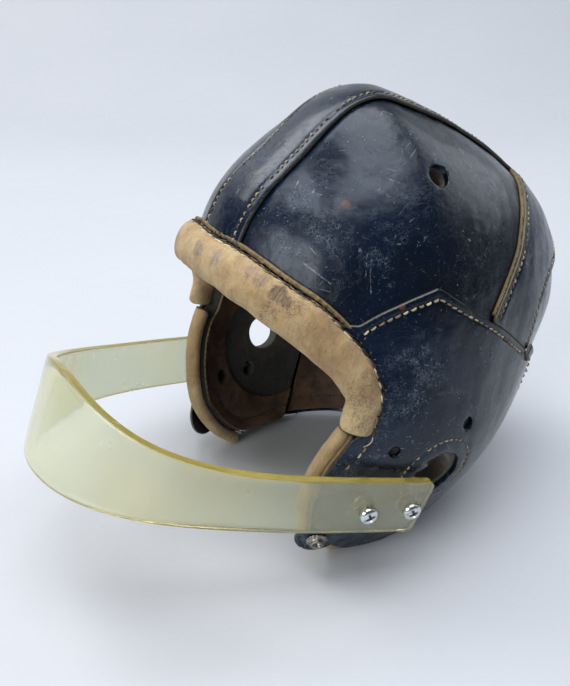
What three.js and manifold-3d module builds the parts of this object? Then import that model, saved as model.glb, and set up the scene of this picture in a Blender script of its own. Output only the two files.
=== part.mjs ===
// Leather football helmet with a padded brow roll, ear flaps and a clear face bar.
// Millimetres, +Z up, the wearer faces -Y and the wearer's left is +X.
// The helmet leans back on its neck edge and on both flap bottoms, as it rests on a table.
import * as THREE from 'three';
import { mergeVertices } from 'three/addons/utils/BufferGeometryUtils.js';
import Module from 'manifold-3d';

const wasm = await Module();
wasm.setup();
const RAD = Math.PI / 180;

// Driving dimensions
const CROWN_HEIGHT = 110.6; // crown above the widest ring
const DROP = 139; // one unit of w below the widest ring
const CROWN_POWER = 2.18;
const CROWN_ROUND = 1.62;
const PLAN_POWER = 2.0;
const CROWN_SHIFT = -21; // crown sits towards the front
const CROWN_LEAN = -0.05;
const TIP_BACK = 13.6 * RAD; // rest pose
const GAP = 0.3; // clearance between neighbouring pieces
const LEATHER = 3.0; // base leather and stiffener
const OVERLAY = 2.4; // strip, rear quarters and ear flaps
const CROWN_FELT = 4.0;
const EAR_FELT = 9.0;
const LINING = 1.8;
const STRIP_HALF = 19.4; // half width of the centre strip
const EAR_HOLE = { phi: 2.4, w: 1.532, radius: 15.5 };
const PAD_HOLE = 11.5; // smaller hole in the ear pad
const RECESS = { phi: 4.5, w: 1.595, radius: 37.5 };
const CROWN_VENT = { phi: -2, w: 0.49, radius: 6.2 };
const FLAP_VENTS = [
  { phi: -16.5, w: 1.414, radius: 3.2 },
  { phi: 8.3, w: 1.31, radius: 3.5 },
];
const BAR_THICK = 6.2;
const BAR_FRONT_WIDTH = 59.0;
const BAR_SIDE_WIDTH = 33.7;
const BAR_FRONT_LEAN = -0.17;
const BAR_SIDE_LEAN = 0.09;
const BAR_END = 0.99;
const BAR_SLANT = 0.0145; // share of the half length, about 5 mm, that the ends' lower corners are cut back
const BAR_CORNER = 3.8;
const BAR_SAG = 6.5; // the bar hangs lower on the wearer's right
const SCREWS = [
  { name: 'front', s: 0.889, v: -0.23 },
  { name: 'rear', s: 0.962, v: -0.09 },
];
const SCREW_HEAD = 5.2;
const SCREW_SHANK = 2.1;
const SCREW_REACH = 24.0; // head to tip
const STACK_END = -20.0; // inner end of the nut, from the bar's middle
const SNAP_AT = { phi: -31.2, w: 1.9 };
const UNDER_ROLL = 4.5; // how far the panels run under the brow roll
const TAB_HALF = 12.3;
const TAB_LENGTH = 17;
const TAB_THICK = 2.4;
const TAB_FACE = 5.4; // height of the tab's outer face
const BINDING_WIDE = 3.9;
const BINDING_HIGH = 4.9;

// Head shape: height, half width, reach to the front, reach to the back
const RINGS = {
  z: [-139, -106, -62, -24, 10, 58, 86, 113],
  half: [69, 86, 101, 98, 93, 90, 93, 98],
  front: [93, 98, 100, 100, 99, 92, 81, 79],
  back: [75, 90, 109, 126, 139, 150, 161, 161],
};

// Dents and bulges: place on the head, height along the normal, spread
const DENTS = [
  { phi: -41, w: 0.31, lift: 2.2, spread: 15, both: false },
  { phi: -61.5, w: 0.6, lift: -3.6, spread: 13, both: false },
  { phi: -97, w: 0.59, lift: -1.8, spread: 12, both: false },
  { phi: -124, w: 0.45, lift: -2.6, spread: 24, both: false },
  { phi: -27.5, w: 0.48, lift: -1.6, spread: 17, both: false },
  { phi: -13, w: 1.61, lift: -2.4, spread: 15, both: true },
];

// Outlines on the head, as [degrees from the left side, w]
const ROLL_LINE = [
  [-90, 0.86], [-77.4, 0.862], [-68.3, 0.877], [-58.2, 0.904], [-49, 0.931], [-41.5, 0.968],
  [-36, 1.007], [-31.4, 1.051], [-27, 1.118], [-24.5, 1.18], [-23.8, 1.236], [-24.1, 1.294],
  [-24.6, 1.358],
];
const FLAP_TOP_FRONT = [[-35.6, 0.97], [-30.6, 0.93], [-22, 0.88], [-11.8, 0.836]];
const FLAP_TOP_REAR = [[-11.8, 0.836], [-3.7, 0.869], [5.8, 0.91], [19.4, 0.963], [30.6, 1.026], [37.6, 1.076]];
const FLAP_REAR = [
  [37.6, 1.076], [41.8, 1.13], [44.2, 1.2], [45.2, 1.31], [42.6, 1.5], [38, 1.67], [31, 1.83], [24, 1.92],
];
const FLAP_BOTTOM = [
  [-35.8, 1.812], [-29.7, 1.91], [-21.7, 1.975], [-14, 2], [-5, 1.995], [6, 1.978], [15, 1.958], [24, 1.92],
];
const FLAP_FRONT = [
  [-29.8, 1.37], [-30.8, 1.41], [-32.7, 1.47], [-34.5, 1.545], [-35.7, 1.632], [-36.4, 1.722], [-35.8, 1.812],
];
const SIDE_BOTTOM = [[-31, 1.075], [-21, 1.026], [-10, 0.994], [3, 1.011], [14.2, 1.052], [24.9, 1.095]];
const MID_SEAM = [
  [89.7, 0.554], [79, 0.568], [68, 0.61], [54, 0.66], [43.5, 0.73], [35.8, 0.802], [29.2, 0.87],
  [24.7, 0.958], [24.7, 1.095],
];
const SEAM_ONE = [
  [76, 0.465], [71, 0.475], [61, 0.508], [49, 0.573], [39.1, 0.656], [30.8, 0.737], [21.7, 0.825],
  [14.2, 0.916],
];
const SEAM_TWO = [
  [80.6, 0.716], [72, 0.732], [62, 0.775], [51, 0.824], [43.9, 0.884], [40.2, 0.942], [37.8, 1.054],
];
const BACK_FRONT = [[24.9, 1.095], [25.5, 1.3], [23.5, 1.6], [20, 1.8], [17, 1.94]];
const NECK_EDGE = [[89.8, 1.849], [70, 1.856], [50, 1.875], [35, 1.905], [17, 1.94]];
const CROWN_FELT_EDGE = [
  [-90, 0.94], [-77, 0.942], [-68, 0.955], [-58, 0.98], [-49, 1.0], [-41.5, 1.03], [-36, 1.05],
  [-31, 1.055], [-21, 1.02], [-9, 0.985], [5, 1.005], [16, 1.045], [26, 1.085], [50, 1.095], [90, 1.095],
];
// Face bar, half of it from the front centre to the rear end
const BAR_LINE = {
  s: [0, 0.16, 0.32, 0.5, 0.72, 1],
  x: [0, 22.8, 44.4, 66.5, 87.4, 106.7],
  y: [-178, -174.9, -164.7, -142.2, -92.1, 0.8],
  z: [-76.6, -77.4, -79.8, -82.9, -86.3, -89.5],
};

// Natural cubic spline through a table
function spline(xs, ys) {
  const n = xs.length;
  const bend = new Array(n).fill(0);
  const u = new Array(n).fill(0);
  for (let i = 1; i < n - 1; i++) {
    const part = (xs[i] - xs[i - 1]) / (xs[i + 1] - xs[i - 1]);
    const p = part * bend[i - 1] + 2;
    bend[i] = (part - 1) / p;
    const slopes = (ys[i + 1] - ys[i]) / (xs[i + 1] - xs[i]) - (ys[i] - ys[i - 1]) / (xs[i] - xs[i - 1]);
    u[i] = (6 * slopes / (xs[i + 1] - xs[i - 1]) - part * u[i - 1]) / p;
  }
  for (let i = n - 2; i >= 0; i--) bend[i] = bend[i] * bend[i + 1] + u[i];
  bend[0] = 0;
  return (x) => {
    let k = 0;
    while (k < n - 2 && x > xs[k + 1]) k++;
    const h = xs[k + 1] - xs[k];
    const a = (xs[k + 1] - x) / h;
    const b = (x - xs[k]) / h;
    return a * ys[k] + b * ys[k + 1] + ((a ** 3 - a) * bend[k] + (b ** 3 - b) * bend[k + 1]) * h * h / 6;
  };
}
const halfWidth = spline(RINGS.z, RINGS.half);
const frontReach = spline(RINGS.z, RINGS.front);
const backReach = spline(RINGS.z, RINGS.back);

// One ring of the head at w: 0 at the crown, 1 at the widest ring, 2 at the flap bottoms
function ring(w) {
  const c = w < 1 ? Math.cos(Math.max(w, 0) * Math.PI / 2) : 0;
  const z = w < 1 ? CROWN_HEIGHT * c : -(w - 1) * DROP;
  const grow = w < 1 ? Math.max(1 - c ** CROWN_POWER, 1e-9) ** (1 / CROWN_ROUND) : 1;
  return { z, a: halfWidth(z) * grow, front: frontReach(z) * grow, back: backReach(z) * grow };
}

function bareHead(phi, w) {
  const r = ring(w);
  const c = Math.cos(phi);
  const s = Math.sin(phi);
  const b = s < 0 ? r.front : r.back;
  const reach = (Math.abs(c / r.a) ** PLAN_POWER + Math.abs(s / b) ** PLAN_POWER) ** (-1 / PLAN_POWER);
  const up = Math.min(Math.max(r.z / CROWN_HEIGHT, 0), 1);
  const y = reach * s;
  return new THREE.Vector3(reach * c, y + CROWN_SHIFT * up * up, r.z + CROWN_LEAN * y * up);
}

function headNormal(phi, w) {
  const e = 0.002;
  const v = Math.max(w, 0.01);
  const along = bareHead(phi + e, v).sub(bareHead(phi - e, v));
  const down = bareHead(phi, v + e).sub(bareHead(phi, v - e));
  return down.cross(along).normalize();
}

for (const d of DENTS) d.centre = bareHead(d.phi * RAD, d.w);

function dentAt(p) {
  let sum = 0;
  for (const d of DENTS) {
    const q = d.both ? new THREE.Vector3(Math.abs(p.x), p.y, p.z) : p;
    sum += d.lift * Math.exp(-q.distanceToSquared(d.centre) / (2 * d.spread * d.spread));
  }
  return sum;
}

// Point of the helmet at a height h above the outer face of the base leather
function shell(phi, w, h) {
  const p = bareHead(phi, w);
  return p.clone().addScaledVector(headNormal(phi, w), h + dentAt(p));
}

// Place on the head that a ray from inside passes through
const EYE = new THREE.Vector3(0, 0, -15);
function measure(p) {
  let z0 = p.z;
  let y0 = p.y;
  for (let i = 0; i < 8; i++) {
    const up = Math.min(Math.max(z0 / CROWN_HEIGHT, 0), 1);
    y0 = p.y - CROWN_SHIFT * up * up;
    z0 = p.z - CROWN_LEAN * y0 * up;
  }
  if (z0 >= CROWN_HEIGHT) return { size: 9, phi: 0, w: 0 };
  const w = z0 > 0 ? Math.acos(z0 / CROWN_HEIGHT) * 2 / Math.PI : 1 - z0 / DROP;
  const r = ring(w);
  const b = y0 < 0 ? r.front : r.back;
  const size = Math.abs(p.x / r.a) ** PLAN_POWER + Math.abs(y0 / b) ** PLAN_POWER;
  return { size, phi: Math.atan2(y0, p.x), w };
}

function strike(from, direction) {
  let low = 5;
  let high = 230;
  for (let i = 0; i < 40; i++) {
    const mid = (low + high) / 2;
    const inside = measure(from.clone().addScaledVector(direction, mid)).size < 1;
    if (inside) low = mid;
    else high = mid;
  }
  return measure(from.clone().addScaledVector(direction, low));
}

function locate(point) {
  return strike(EYE, point.clone().sub(EYE).normalize());
}

// Even steps along a smooth outline drawn through a table of places
function outline(table, steps) {
  const curve = new THREE.CatmullRomCurve3(table.map(([deg, w]) => bareHead(deg * RAD, w)), false, 'centripetal');
  return curve.getSpacedPoints(steps);
}

// The same outline moved sideways over the head
function moved(points, distance) {
  return points.map((p, i) => {
    const before = points[Math.max(i - 1, 0)];
    const after = points[Math.min(i + 1, points.length - 1)];
    const place = measure(p);
    const across = headNormal(place.phi, place.w).cross(after.clone().sub(before)).normalize();
    return p.clone().addScaledVector(across, distance);
  });
}

function resample(points, steps) {
  return new THREE.CatmullRomCurve3(points, false, 'centripetal').getSpacedPoints(steps);
}

// Point of the head at a constant x, seen at an angle from the middle of that slice
function sliceAngle(p) {
  return Math.atan2(p.z + 15, p.y);
}

function slicePoint(x, angle) {
  const place = strike(new THREE.Vector3(x, 0, -15), new THREE.Vector3(0, Math.cos(angle), Math.sin(angle)));
  return bareHead(place.phi, place.w);
}

// Line over the head at a constant x, from one end point to another
function lengthwise(x, start, end, steps) {
  const first = sliceAngle(start);
  const last = sliceAngle(end);
  const points = [];
  for (let i = 0; i <= 120; i++) points.push(slicePoint(x, first + (last - first) * i / 120));
  return resample(points, steps);
}

// Four-sided patch: top and bottom run the same way, left and right run from top to bottom
function patch(top, bottom, left, right) {
  const nu = top.length - 1;
  const nv = left.length - 1;
  const grid = [];
  for (let i = 0; i <= nu; i++) {
    const row = [];
    for (let j = 0; j <= nv; j++) {
      const u = i / nu;
      const v = j / nv;
      const p = new THREE.Vector3();
      p.addScaledVector(top[i], 1 - v).addScaledVector(bottom[i], v);
      p.addScaledVector(left[j], 1 - u).addScaledVector(right[j], u);
      p.addScaledVector(top[0], -(1 - u) * (1 - v)).addScaledVector(top[nu], -u * (1 - v));
      p.addScaledVector(bottom[0], -(1 - u) * v).addScaledVector(bottom[nu], -u * v);
      row.push(locate(p));
    }
    grid.push(row);
  }
  return grid;
}

function solidFrom(points, faces) {
  let volume = 0;
  for (const [a, b, c] of faces) volume += points[a].dot(points[b].clone().cross(points[c]));
  const index = volume > 0 ? faces.flat() : faces.map(([a, b, c]) => [a, c, b]).flat();
  const geometry = new THREE.BufferGeometry();
  geometry.setAttribute('position', new THREE.Float32BufferAttribute(points.flatMap((p) => [p.x, p.y, p.z]), 3));
  geometry.setIndex(index);
  return geometry;
}

// Sheet of material between two heights over a grid of places; side is 1 for left, -1 for right
function layer(grid, inner, outer, side = 1) {
  const nu = grid.length;
  const nv = grid[0].length;
  const points = [];
  for (const h of [outer, inner]) {
    for (const row of grid) {
      for (const { phi, w } of row) points.push(shell(side > 0 ? phi : Math.PI - phi, w, h));
    }
  }
  const faces = [];
  const at = (level, i, j) => level * nu * nv + i * nv + j;
  const quad = (a, b, c, d) => faces.push([a, b, c], [a, c, d]);
  for (let i = 0; i < nu - 1; i++) {
    for (let j = 0; j < nv - 1; j++) {
      quad(at(0, i, j), at(0, i, j + 1), at(0, i + 1, j + 1), at(0, i + 1, j));
      quad(at(1, i, j), at(1, i + 1, j), at(1, i + 1, j + 1), at(1, i, j + 1));
    }
    quad(at(0, i, 0), at(0, i + 1, 0), at(1, i + 1, 0), at(1, i, 0));
    quad(at(0, i + 1, nv - 1), at(0, i, nv - 1), at(1, i, nv - 1), at(1, i + 1, nv - 1));
  }
  for (let j = 0; j < nv - 1; j++) {
    quad(at(0, 0, j + 1), at(0, 0, j), at(1, 0, j), at(1, 0, j + 1));
    quad(at(0, nu - 1, j), at(0, nu - 1, j + 1), at(1, nu - 1, j + 1), at(1, nu - 1, j));
  }
  return solidFrom(points, faces);
}

// Whole shell of one material on a shared lattice, from the crown to below the flaps
const LATTICE_TURNS = 24;
const LATTICE_LEVELS = [0.16, 0.33, 0.5, 0.67, 0.84, 1, 1.18, 1.37, 1.56, 1.75, 1.92, 2.08];
function cup(turns, levelsAt, inner, outer) {
  const points = [shell(0, 0.002, outer), shell(0, 0.002, inner)];
  const count = levelsAt(0).length;
  for (const h of [outer, inner]) {
    for (let i = 0; i < turns; i++) {
      const deg = -90 + 360 * i / turns;
      for (const w of levelsAt(deg)) points.push(shell(deg * RAD, w, h));
    }
  }
  const at = (level, i, j) => 2 + level * turns * count + (i % turns) * count + j;
  const faces = [];
  for (let i = 0; i < turns; i++) {
    faces.push([0, at(0, i, 0), at(0, i + 1, 0)], [1, at(1, i + 1, 0), at(1, i, 0)]);
    for (let j = 0; j < count - 1; j++) {
      faces.push([at(0, i, j), at(0, i, j + 1), at(0, i + 1, j + 1)], [at(0, i, j), at(0, i + 1, j + 1), at(0, i + 1, j)]);
      faces.push([at(1, i, j), at(1, i + 1, j + 1), at(1, i, j + 1)], [at(1, i, j), at(1, i + 1, j), at(1, i + 1, j + 1)]);
    }
    const last = count - 1;
    faces.push([at(0, i, last), at(1, i, last), at(1, i + 1, last)], [at(0, i, last), at(1, i + 1, last), at(0, i + 1, last)]);
  }
  return solidFrom(points, faces);
}

// Closed tube from a list of section rings
function tube(rings) {
  const n = rings.length;
  const m = rings[0].length;
  const points = rings.flat();
  const faces = [];
  for (let i = 0; i < n - 1; i++) {
    for (let j = 0; j < m; j++) {
      const k = (j + 1) % m;
      faces.push([i * m + j, (i + 1) * m + j, (i + 1) * m + k], [i * m + j, (i + 1) * m + k, i * m + k]);
    }
  }
  for (const [base, flip] of [[0, true], [(n - 1) * m, false]]) {
    const centre = new THREE.Vector3();
    for (let j = 0; j < m; j++) centre.addScaledVector(points[base + j], 1 / m);
    points.push(centre);
    const mid = points.length - 1;
    for (let j = 0; j < m; j++) {
      const a = base + j;
      const b = base + (j + 1) % m;
      faces.push(flip ? [mid, a, b] : [mid, b, a]);
    }
  }
  return solidFrom(points, faces);
}

function toSolid(geometry) {
  const bare = geometry.clone();
  bare.deleteAttribute('normal');
  bare.deleteAttribute('uv');
  const merged = mergeVertices(bare, 1e-5);
  const mesh = new wasm.Mesh({
    numProp: 3,
    vertProperties: new Float32Array(merged.attributes.position.array),
    triVerts: new Uint32Array(merged.index.array),
  });
  return new wasm.Manifold(mesh);
}

function toGeometry(solid) {
  const mesh = solid.getMesh();
  const geometry = new THREE.BufferGeometry();
  geometry.setAttribute('position', new THREE.Float32BufferAttribute(mesh.vertProperties, 3));
  geometry.setIndex(Array.from(mesh.triVerts));
  return geometry;
}

function cut(shape, cutters) {
  let solid = shape.isBufferGeometry ? toSolid(shape) : shape;
  for (const cutter of cutters) solid = solid.subtract(toSolid(cutter));
  return toGeometry(solid);
}

// Turn a shape made about +Z so that +Z points along a direction from a point
function aimed(geometry, point, direction, across = null) {
  const z = direction.clone().normalize();
  const hint = across ?? new THREE.Vector3(0, 0, 1);
  const x = hint.clone().addScaledVector(z, -hint.dot(z)).normalize();
  const y = z.clone().cross(x);
  const matrix = new THREE.Matrix4().makeBasis(x, y, z).setPosition(point);
  return geometry.clone().applyMatrix4(matrix);
}

function rod(radius, from, to, segments) {
  const shape = new THREE.CylinderGeometry(radius, radius, to - from, segments);
  return shape.rotateX(Math.PI / 2).translate(0, 0, (from + to) / 2);
}

function holeAt(place, radius, segments, side) {
  const phi = side > 0 ? place.phi * RAD : Math.PI - place.phi * RAD;
  return aimed(rod(radius, -22, 12, segments), shell(phi, place.w, 0), headNormal(phi, place.w));
}

// Materials
const paint = (color, roughness, metalness = 0) => new THREE.MeshStandardMaterial({ color, roughness, metalness });
const LEATHER_BLACK = paint(0x141d28, 0.34);
const LEATHER_TAN = paint(0xbda27a, 0.62);
const LEATHER_BROWN = paint(0x4a3226, 0.7);
const FELT_DARK = paint(0x2b2822, 0.95);
const FELT_BROWN = paint(0x3a2c22, 0.9);
const BAR_CLEAR = paint(0xd3d9bd, 0.15);
const STEEL = paint(0xc9ccce, 0.2, 1);
const STEEL_DARK = paint(0x7a7468, 0.4, 1);
const BRASS = paint(0xa98c4a, 0.35, 1);

const helmet = new THREE.Group();
helmet.name = 'helmet';
function add(name, geometry, material) {
  const mesh = new THREE.Mesh(geometry, material);
  mesh.name = name;
  helmet.add(mesh);
  return mesh;
}

// Base panels: the crown side and the back, on each side of the centre seam
const seamX = 0.2;
const rollAll = outline(ROLL_LINE, 48);
const rollSplit = 30;
const sideFront = resample(moved(rollAll.slice(0, rollSplit + 1), -UNDER_ROLL), 8);
sideFront[0] = slicePoint(seamX, sliceAngle(sideFront[0]));
const neckBack = bareHead(90 * RAD, NECK_EDGE[0][1]);
const midTop = bareHead(90 * RAD, MID_SEAM[0][1]);
const midSeam = outline(MID_SEAM, 40);
midSeam[0] = slicePoint(seamX, sliceAngle(midTop));
const sideRear = resample(moved(midSeam, -0.2), 8);
const sideBottom = outline([[...placeOf(sideFront[8])], ...SIDE_BOTTOM.slice(1, -1), [...placeOf(sideRear[8])]], 8);
const sideTop = lengthwise(seamX, sideFront[0], sideRear[0], 8);
const SIDE_GRID = patch(sideTop, sideBottom, sideFront, sideRear);

function placeOf(p) {
  const place = measure(p);
  return [place.phi / RAD, place.w];
}

const backTop = resample(moved(midSeam, 0.2), 8);
const backBottom = outline(NECK_EDGE, 8);
backBottom[0] = slicePoint(seamX, sliceAngle(neckBack));
const backRear = lengthwise(seamX, backTop[0], backBottom[0], 10);
const backFront = outline([placeOf(backTop[8]), ...BACK_FRONT.slice(1)], 10);
const BACK_GRID = patch(backTop, backBottom, backRear, backFront);

// Overlays: rear quarters, centre strip and ear flaps
const stripEdge = STRIP_HALF - 1;
function edgeAt(p) {
  return slicePoint(stripEdge, sliceAngle(p));
}
const seamOne = outline(SEAM_ONE, 10);
const seamTwo = outline(SEAM_TWO, 10);
seamOne[0] = edgeAt(seamOne[0]);
seamTwo[0] = edgeAt(seamTwo[0]);
const flapTopRear = outline(FLAP_TOP_REAR, 40);
const overFlap = resample(moved(flapTopRear, 0.4).slice(22, 41), 3);
const quarterBottom = resample([seamOne[10], ...overFlap.slice(1, 3), seamTwo[10]], 3);
const quarterTop = lengthwise(stripEdge, seamOne[0], seamTwo[0], 3);
const QUARTER_GRID = patch(quarterTop, quarterBottom, seamOne, seamTwo);

const flapFrontHigh = moved(rollAll, -UNDER_ROLL).slice(rollSplit - 4);
const flapFront = resample(flapFrontHigh.concat(outline(FLAP_FRONT, 12).slice(1)), 9);
const flapTop = resample([flapFront[0], ...outline(FLAP_TOP_FRONT, 12).slice(2)], 3).concat(resample(flapTopRear, 5).slice(1));
const flapBottom = outline(FLAP_BOTTOM, 8);
const flapRear = outline(FLAP_REAR, 9);
const FLAP_GRID = patch(flapTop, flapBottom, flapFront, flapRear);

// Ear padding inside the flap, from the side panel's lower edge down
const padRear = resample(moved(backFront, -0.5), 8);
const padTop = moved(outline(SIDE_BOTTOM, 7), -1.0);
padTop[7] = padRear[0];
const padFront = resample([padTop[0], ...moved(rollAll, -UNDER_ROLL).slice(rollSplit + 6), ...outline(FLAP_FRONT, 12).slice(2)], 8);
const padBottom = outline([FLAP_BOTTOM[0], ...FLAP_BOTTOM.slice(1, -1).map(([d, w]) => [d, w - 0.006]), placeOf(padRear[8])], 7);
const PAD_GRID = patch(padTop, padBottom, padFront, padRear);

const NECK_GRID = [];
for (let i = 0; i <= 8; i++) {
  const row = [];
  for (let j = 0; j <= 4; j++) {
    const v = j / 4;
    const w = 1.112 + (1.8 - 1.112) * v;
    const side = spline([1.1, 1.3, 1.6, 1.8, 1.94], [25.3, 25.9, 23.9, 20.4, 17.4])(w);
    const deg = side + 0.2 + (180 - 2 * side - 0.4) * i / 8;
    const sag = Math.abs(deg - 90) / 70;
    row.push({ phi: deg * RAD, w: w + 0.06 * v * sag * sag });
  }
  NECK_GRID.push(row);
}

const crownEdge = spline(CROWN_FELT_EDGE.map((r) => r[0]), CROWN_FELT_EDGE.map((r) => r[1]));
function crownLevels(deg) {
  const edge = crownEdge(deg <= 90 ? deg : 180 - deg);
  return [0.2, 0.5, 0.75, 1].map((share) => share * edge);
}

// Section of a roll: flattened oval, half width along the head and half height off it
function ovalRings(line, sides, sizes, power) {
  const rings = [];
  const n = line.length;
  for (let i = 0; i < n; i++) {
    const { centre, down, out } = line[i];
    const { wide, high } = sizes(i / (n - 1));
    const section = [];
    for (let k = 0; k < sides; k++) {
      const t = (k + 0.5) / sides * Math.PI * 2;
      const c = Math.sign(Math.cos(t)) * Math.abs(Math.cos(t)) ** (2 / power);
      const s = Math.sign(Math.sin(t)) * Math.abs(Math.sin(t)) ** (2 / power);
      section.push(centre.clone().addScaledVector(down, wide * c).addScaledVector(out, high * s));
    }
    rings.push(section);
  }
  return rings;
}

function framesAlong(points, shift, lift, side = 1) {
  return points.map((p, i) => {
    const before = points[Math.max(i - 1, 0)];
    const after = points[Math.min(i + 1, points.length - 1)];
    const place = measure(p);
    const out = headNormal(place.phi, place.w);
    const down = after.clone().sub(before).cross(out).normalize();
    const share = i / (points.length - 1);
    const centre = p.clone().addScaledVector(down, shift(share)).addScaledVector(out, lift(share));
    return { centre, down, out };
  });
}

// Brow roll: from one cheek over the forehead to the other
const mirrorX = (p) => new THREE.Vector3(-p.x, p.y, p.z);
const rollLeft = outline(ROLL_LINE, 16);
const rollPath = rollLeft.slice(1).reverse().map(mirrorX).concat(rollLeft);
const fromFront = (share) => Math.abs(2 * share - 1);
const endRound = (share) => {
  const left = Math.min(share, 1 - share) * 320;
  return left < 5 ? Math.sqrt(1 - (1 - left / 5) ** 2) * 0.45 + 0.55 : 1;
};
const rollWide = (share) => 12.6 - 3.2 * Math.max(0, fromFront(share) - 0.5) * 2;
const rollHigh = (share) => 7.5 - 0.9 * Math.max(0, fromFront(share) - 0.5) * 2;
const rollFrames = framesAlong(
  rollPath,
  (share) => rollWide(share) + 0.1,
  (share) => 3.6 - 1.6 * Math.max(0, fromFront(share) - 0.5) * 2,
);
const rollSizes = (share) => ({ wide: rollWide(share) * endRound(share), high: rollHigh(share) * endRound(share) });
const bedSizes = (share) => ({ wide: rollWide(share) + 0.3, high: rollHigh(share) + 0.3 });
const rollBed = tube(ovalRings(rollFrames, 10, bedSizes, 2.3));
add('brow_roll', tube(ovalRings(rollFrames, 10, rollSizes, 2.3)), LEATHER_TAN);

// The shells that the panels are cut from
const whole = (inner, outer) => toSolid(cup(LATTICE_TURNS, () => LATTICE_LEVELS, inner, outer));
const baseShell = whole(-LEATHER, 0);
const overlayShell = whole(GAP, GAP + OVERLAY);
const crownShell = whole(-LEATHER - GAP - CROWN_FELT, -LEATHER - GAP);
const neckShell = whole(-LEATHER - GAP - 2.4, -LEATHER - GAP);
const earShell = whole(-EAR_FELT, 0);
const liningShell = whole(-EAR_FELT - GAP - LINING, -EAR_FELT - GAP);
const bandShell = whole(0, GAP * 2 + OVERLAY);
const tabShell = whole(TAB_FACE - TAB_THICK, TAB_FACE);
const within = (shellSolid, grid, side = 1) => shellSolid.intersect(toSolid(layer(grid, -15, 9, side)));

// Largest part left when a solid falls apart in a cut
function largest(solid) {
  const parts = solid.decompose();
  parts.sort((a, b) => b.volume() - a.volume());
  return parts[0];
}

// Centre strip: flat-sided slice of the overlay shell, from under the roll to the neck edge
const stripNeck = -(NECK_EDGE[0][1] - 1) * DROP;
const stripSide = new THREE.Shape([
  new THREE.Vector2(0, 0), new THREE.Vector2(-130, 15), new THREE.Vector2(-130, 150),
  new THREE.Vector2(180, 150), new THREE.Vector2(180, stripNeck), new THREE.Vector2(20, stripNeck),
]);
const stripWedge = new THREE.ExtrudeGeometry(stripSide, { depth: 2 * STRIP_HALF, bevelEnabled: false });
stripWedge.rotateZ(Math.PI / 2).rotateY(Math.PI / 2).translate(-STRIP_HALF, 0, 0);
const strip = overlayShell.intersect(toSolid(stripWedge)).subtract(toSolid(rollBed));
add('centre_strip', toGeometry(largest(strip)), LEATHER_BLACK);

// Face bar
const barX = spline([...BAR_LINE.s.slice(1).reverse().map((s) => -s), ...BAR_LINE.s], [...BAR_LINE.x.slice(1).reverse().map((x) => -x), ...BAR_LINE.x]);
const barY = spline([...BAR_LINE.s.slice(1).reverse().map((s) => -s), ...BAR_LINE.s], [...BAR_LINE.y.slice(1).reverse(), ...BAR_LINE.y]);
const barZ = spline([...BAR_LINE.s.slice(1).reverse().map((s) => -s), ...BAR_LINE.s], [...BAR_LINE.z.slice(1).reverse(), ...BAR_LINE.z]);

function barSag(s) {
  const t = Math.min(Math.max((0.1 - s) / 0.6, 0), 1);
  return BAR_SAG * t * t * (3 - 2 * t);
}

// Point of the bar: s along it, v across its width from -1 to 1, h off its middle
function barFrame(s) {
  const e = 0.002;
  const dx = barX(s + e) - barX(s - e);
  const dy = barY(s + e) - barY(s - e);
  const length = Math.hypot(dx, dy);
  const nx = dy / length;
  const ny = -dx / length;
  const front = 0.5 + 0.5 * Math.cos(Math.PI * Math.min(Math.abs(s) / 0.75, 1));
  const width = BAR_SIDE_WIDTH + (BAR_FRONT_WIDTH - BAR_SIDE_WIDTH) * front;
  const lean = BAR_SIDE_LEAN + (BAR_FRONT_LEAN - BAR_SIDE_LEAN) * front;
  return {
    centre: new THREE.Vector3(barX(s), barY(s), barZ(s) - barSag(s)),
    up: new THREE.Vector3(nx * Math.sin(lean), ny * Math.sin(lean), Math.cos(lean)),
    out: new THREE.Vector3(nx * Math.cos(lean), ny * Math.cos(lean), -Math.sin(lean)),
    half: width / 2,
  };
}

function barPoint(s, v, h) {
  const f = barFrame(s);
  return f.centre.clone().addScaledVector(f.up, v * f.half).addScaledVector(f.out, h);
}

const barStations = [];
for (let i = -12; i <= 12; i++) barStations.push(BAR_END * Math.sign(i) * Math.abs(i / 12) ** 0.94);
const tipInset = [[1, BAR_CORNER], [0.992, 0.3 * BAR_CORNER], [0.98, 0.2]];
const stations = [
  ...tipInset.map(([s, inset]) => ({ s: -s * BAR_END, inset })),
  ...barStations.slice(1, -1).map((s) => ({ s, inset: 0 })),
  ...tipInset.slice().reverse().map(([s, inset]) => ({ s: s * BAR_END, inset })),
];

// Place along the bar at height v, where the ends slant back towards the lower edge
function slanted(s, v) {
  const near = Math.min(Math.max((Math.abs(s) - 0.86) / (BAR_END - 0.86), 0), 1);
  return s - Math.sign(s) * BAR_SLANT * near * (1 - v) / 2;
}

const barRings = stations.map(({ s, inset }) => {
  const f = barFrame(s);
  const edge = 1.7;
  const half = f.half - inset;
  const thick = BAR_THICK / 2;
  const corners = [
    [half - edge, thick], [half - 0.3, thick * 0.5], [half - 0.3, -thick * 0.5], [half - edge, -thick],
    [-half + edge, -thick], [-half + 0.3, -thick * 0.5], [-half + 0.3, thick * 0.5], [-half + edge, thick],
  ];
  return corners.map(([v, h]) => barPoint(slanted(s, v / f.half), v / f.half, h));
});

// Snap: serrated flange with a hollow stud
function snapShape() {
  const profile = [
    [1.9, 0], [6.2, 0], [6.2, 0.8], [4.4, 1.4], [4.0, 3.6], [1.9, 3.6],
  ].map(([r, z]) => new THREE.Vector2(r, z));
  profile.push(profile[0].clone());
  return new THREE.LatheGeometry(profile, 12).rotateX(Math.PI / 2);
}

function flipped(geometry) {
  const index = geometry.index.array;
  const turned = [];
  for (let i = 0; i < index.length; i += 3) turned.push(index[i], index[i + 2], index[i + 1]);
  const copy = geometry.clone();
  copy.setIndex(turned);
  return copy;
}

const bindingTable = [...FLAP_FRONT, ...FLAP_BOTTOM.slice(1, 4)];
const bindingPath = outline(bindingTable, 13);

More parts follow.
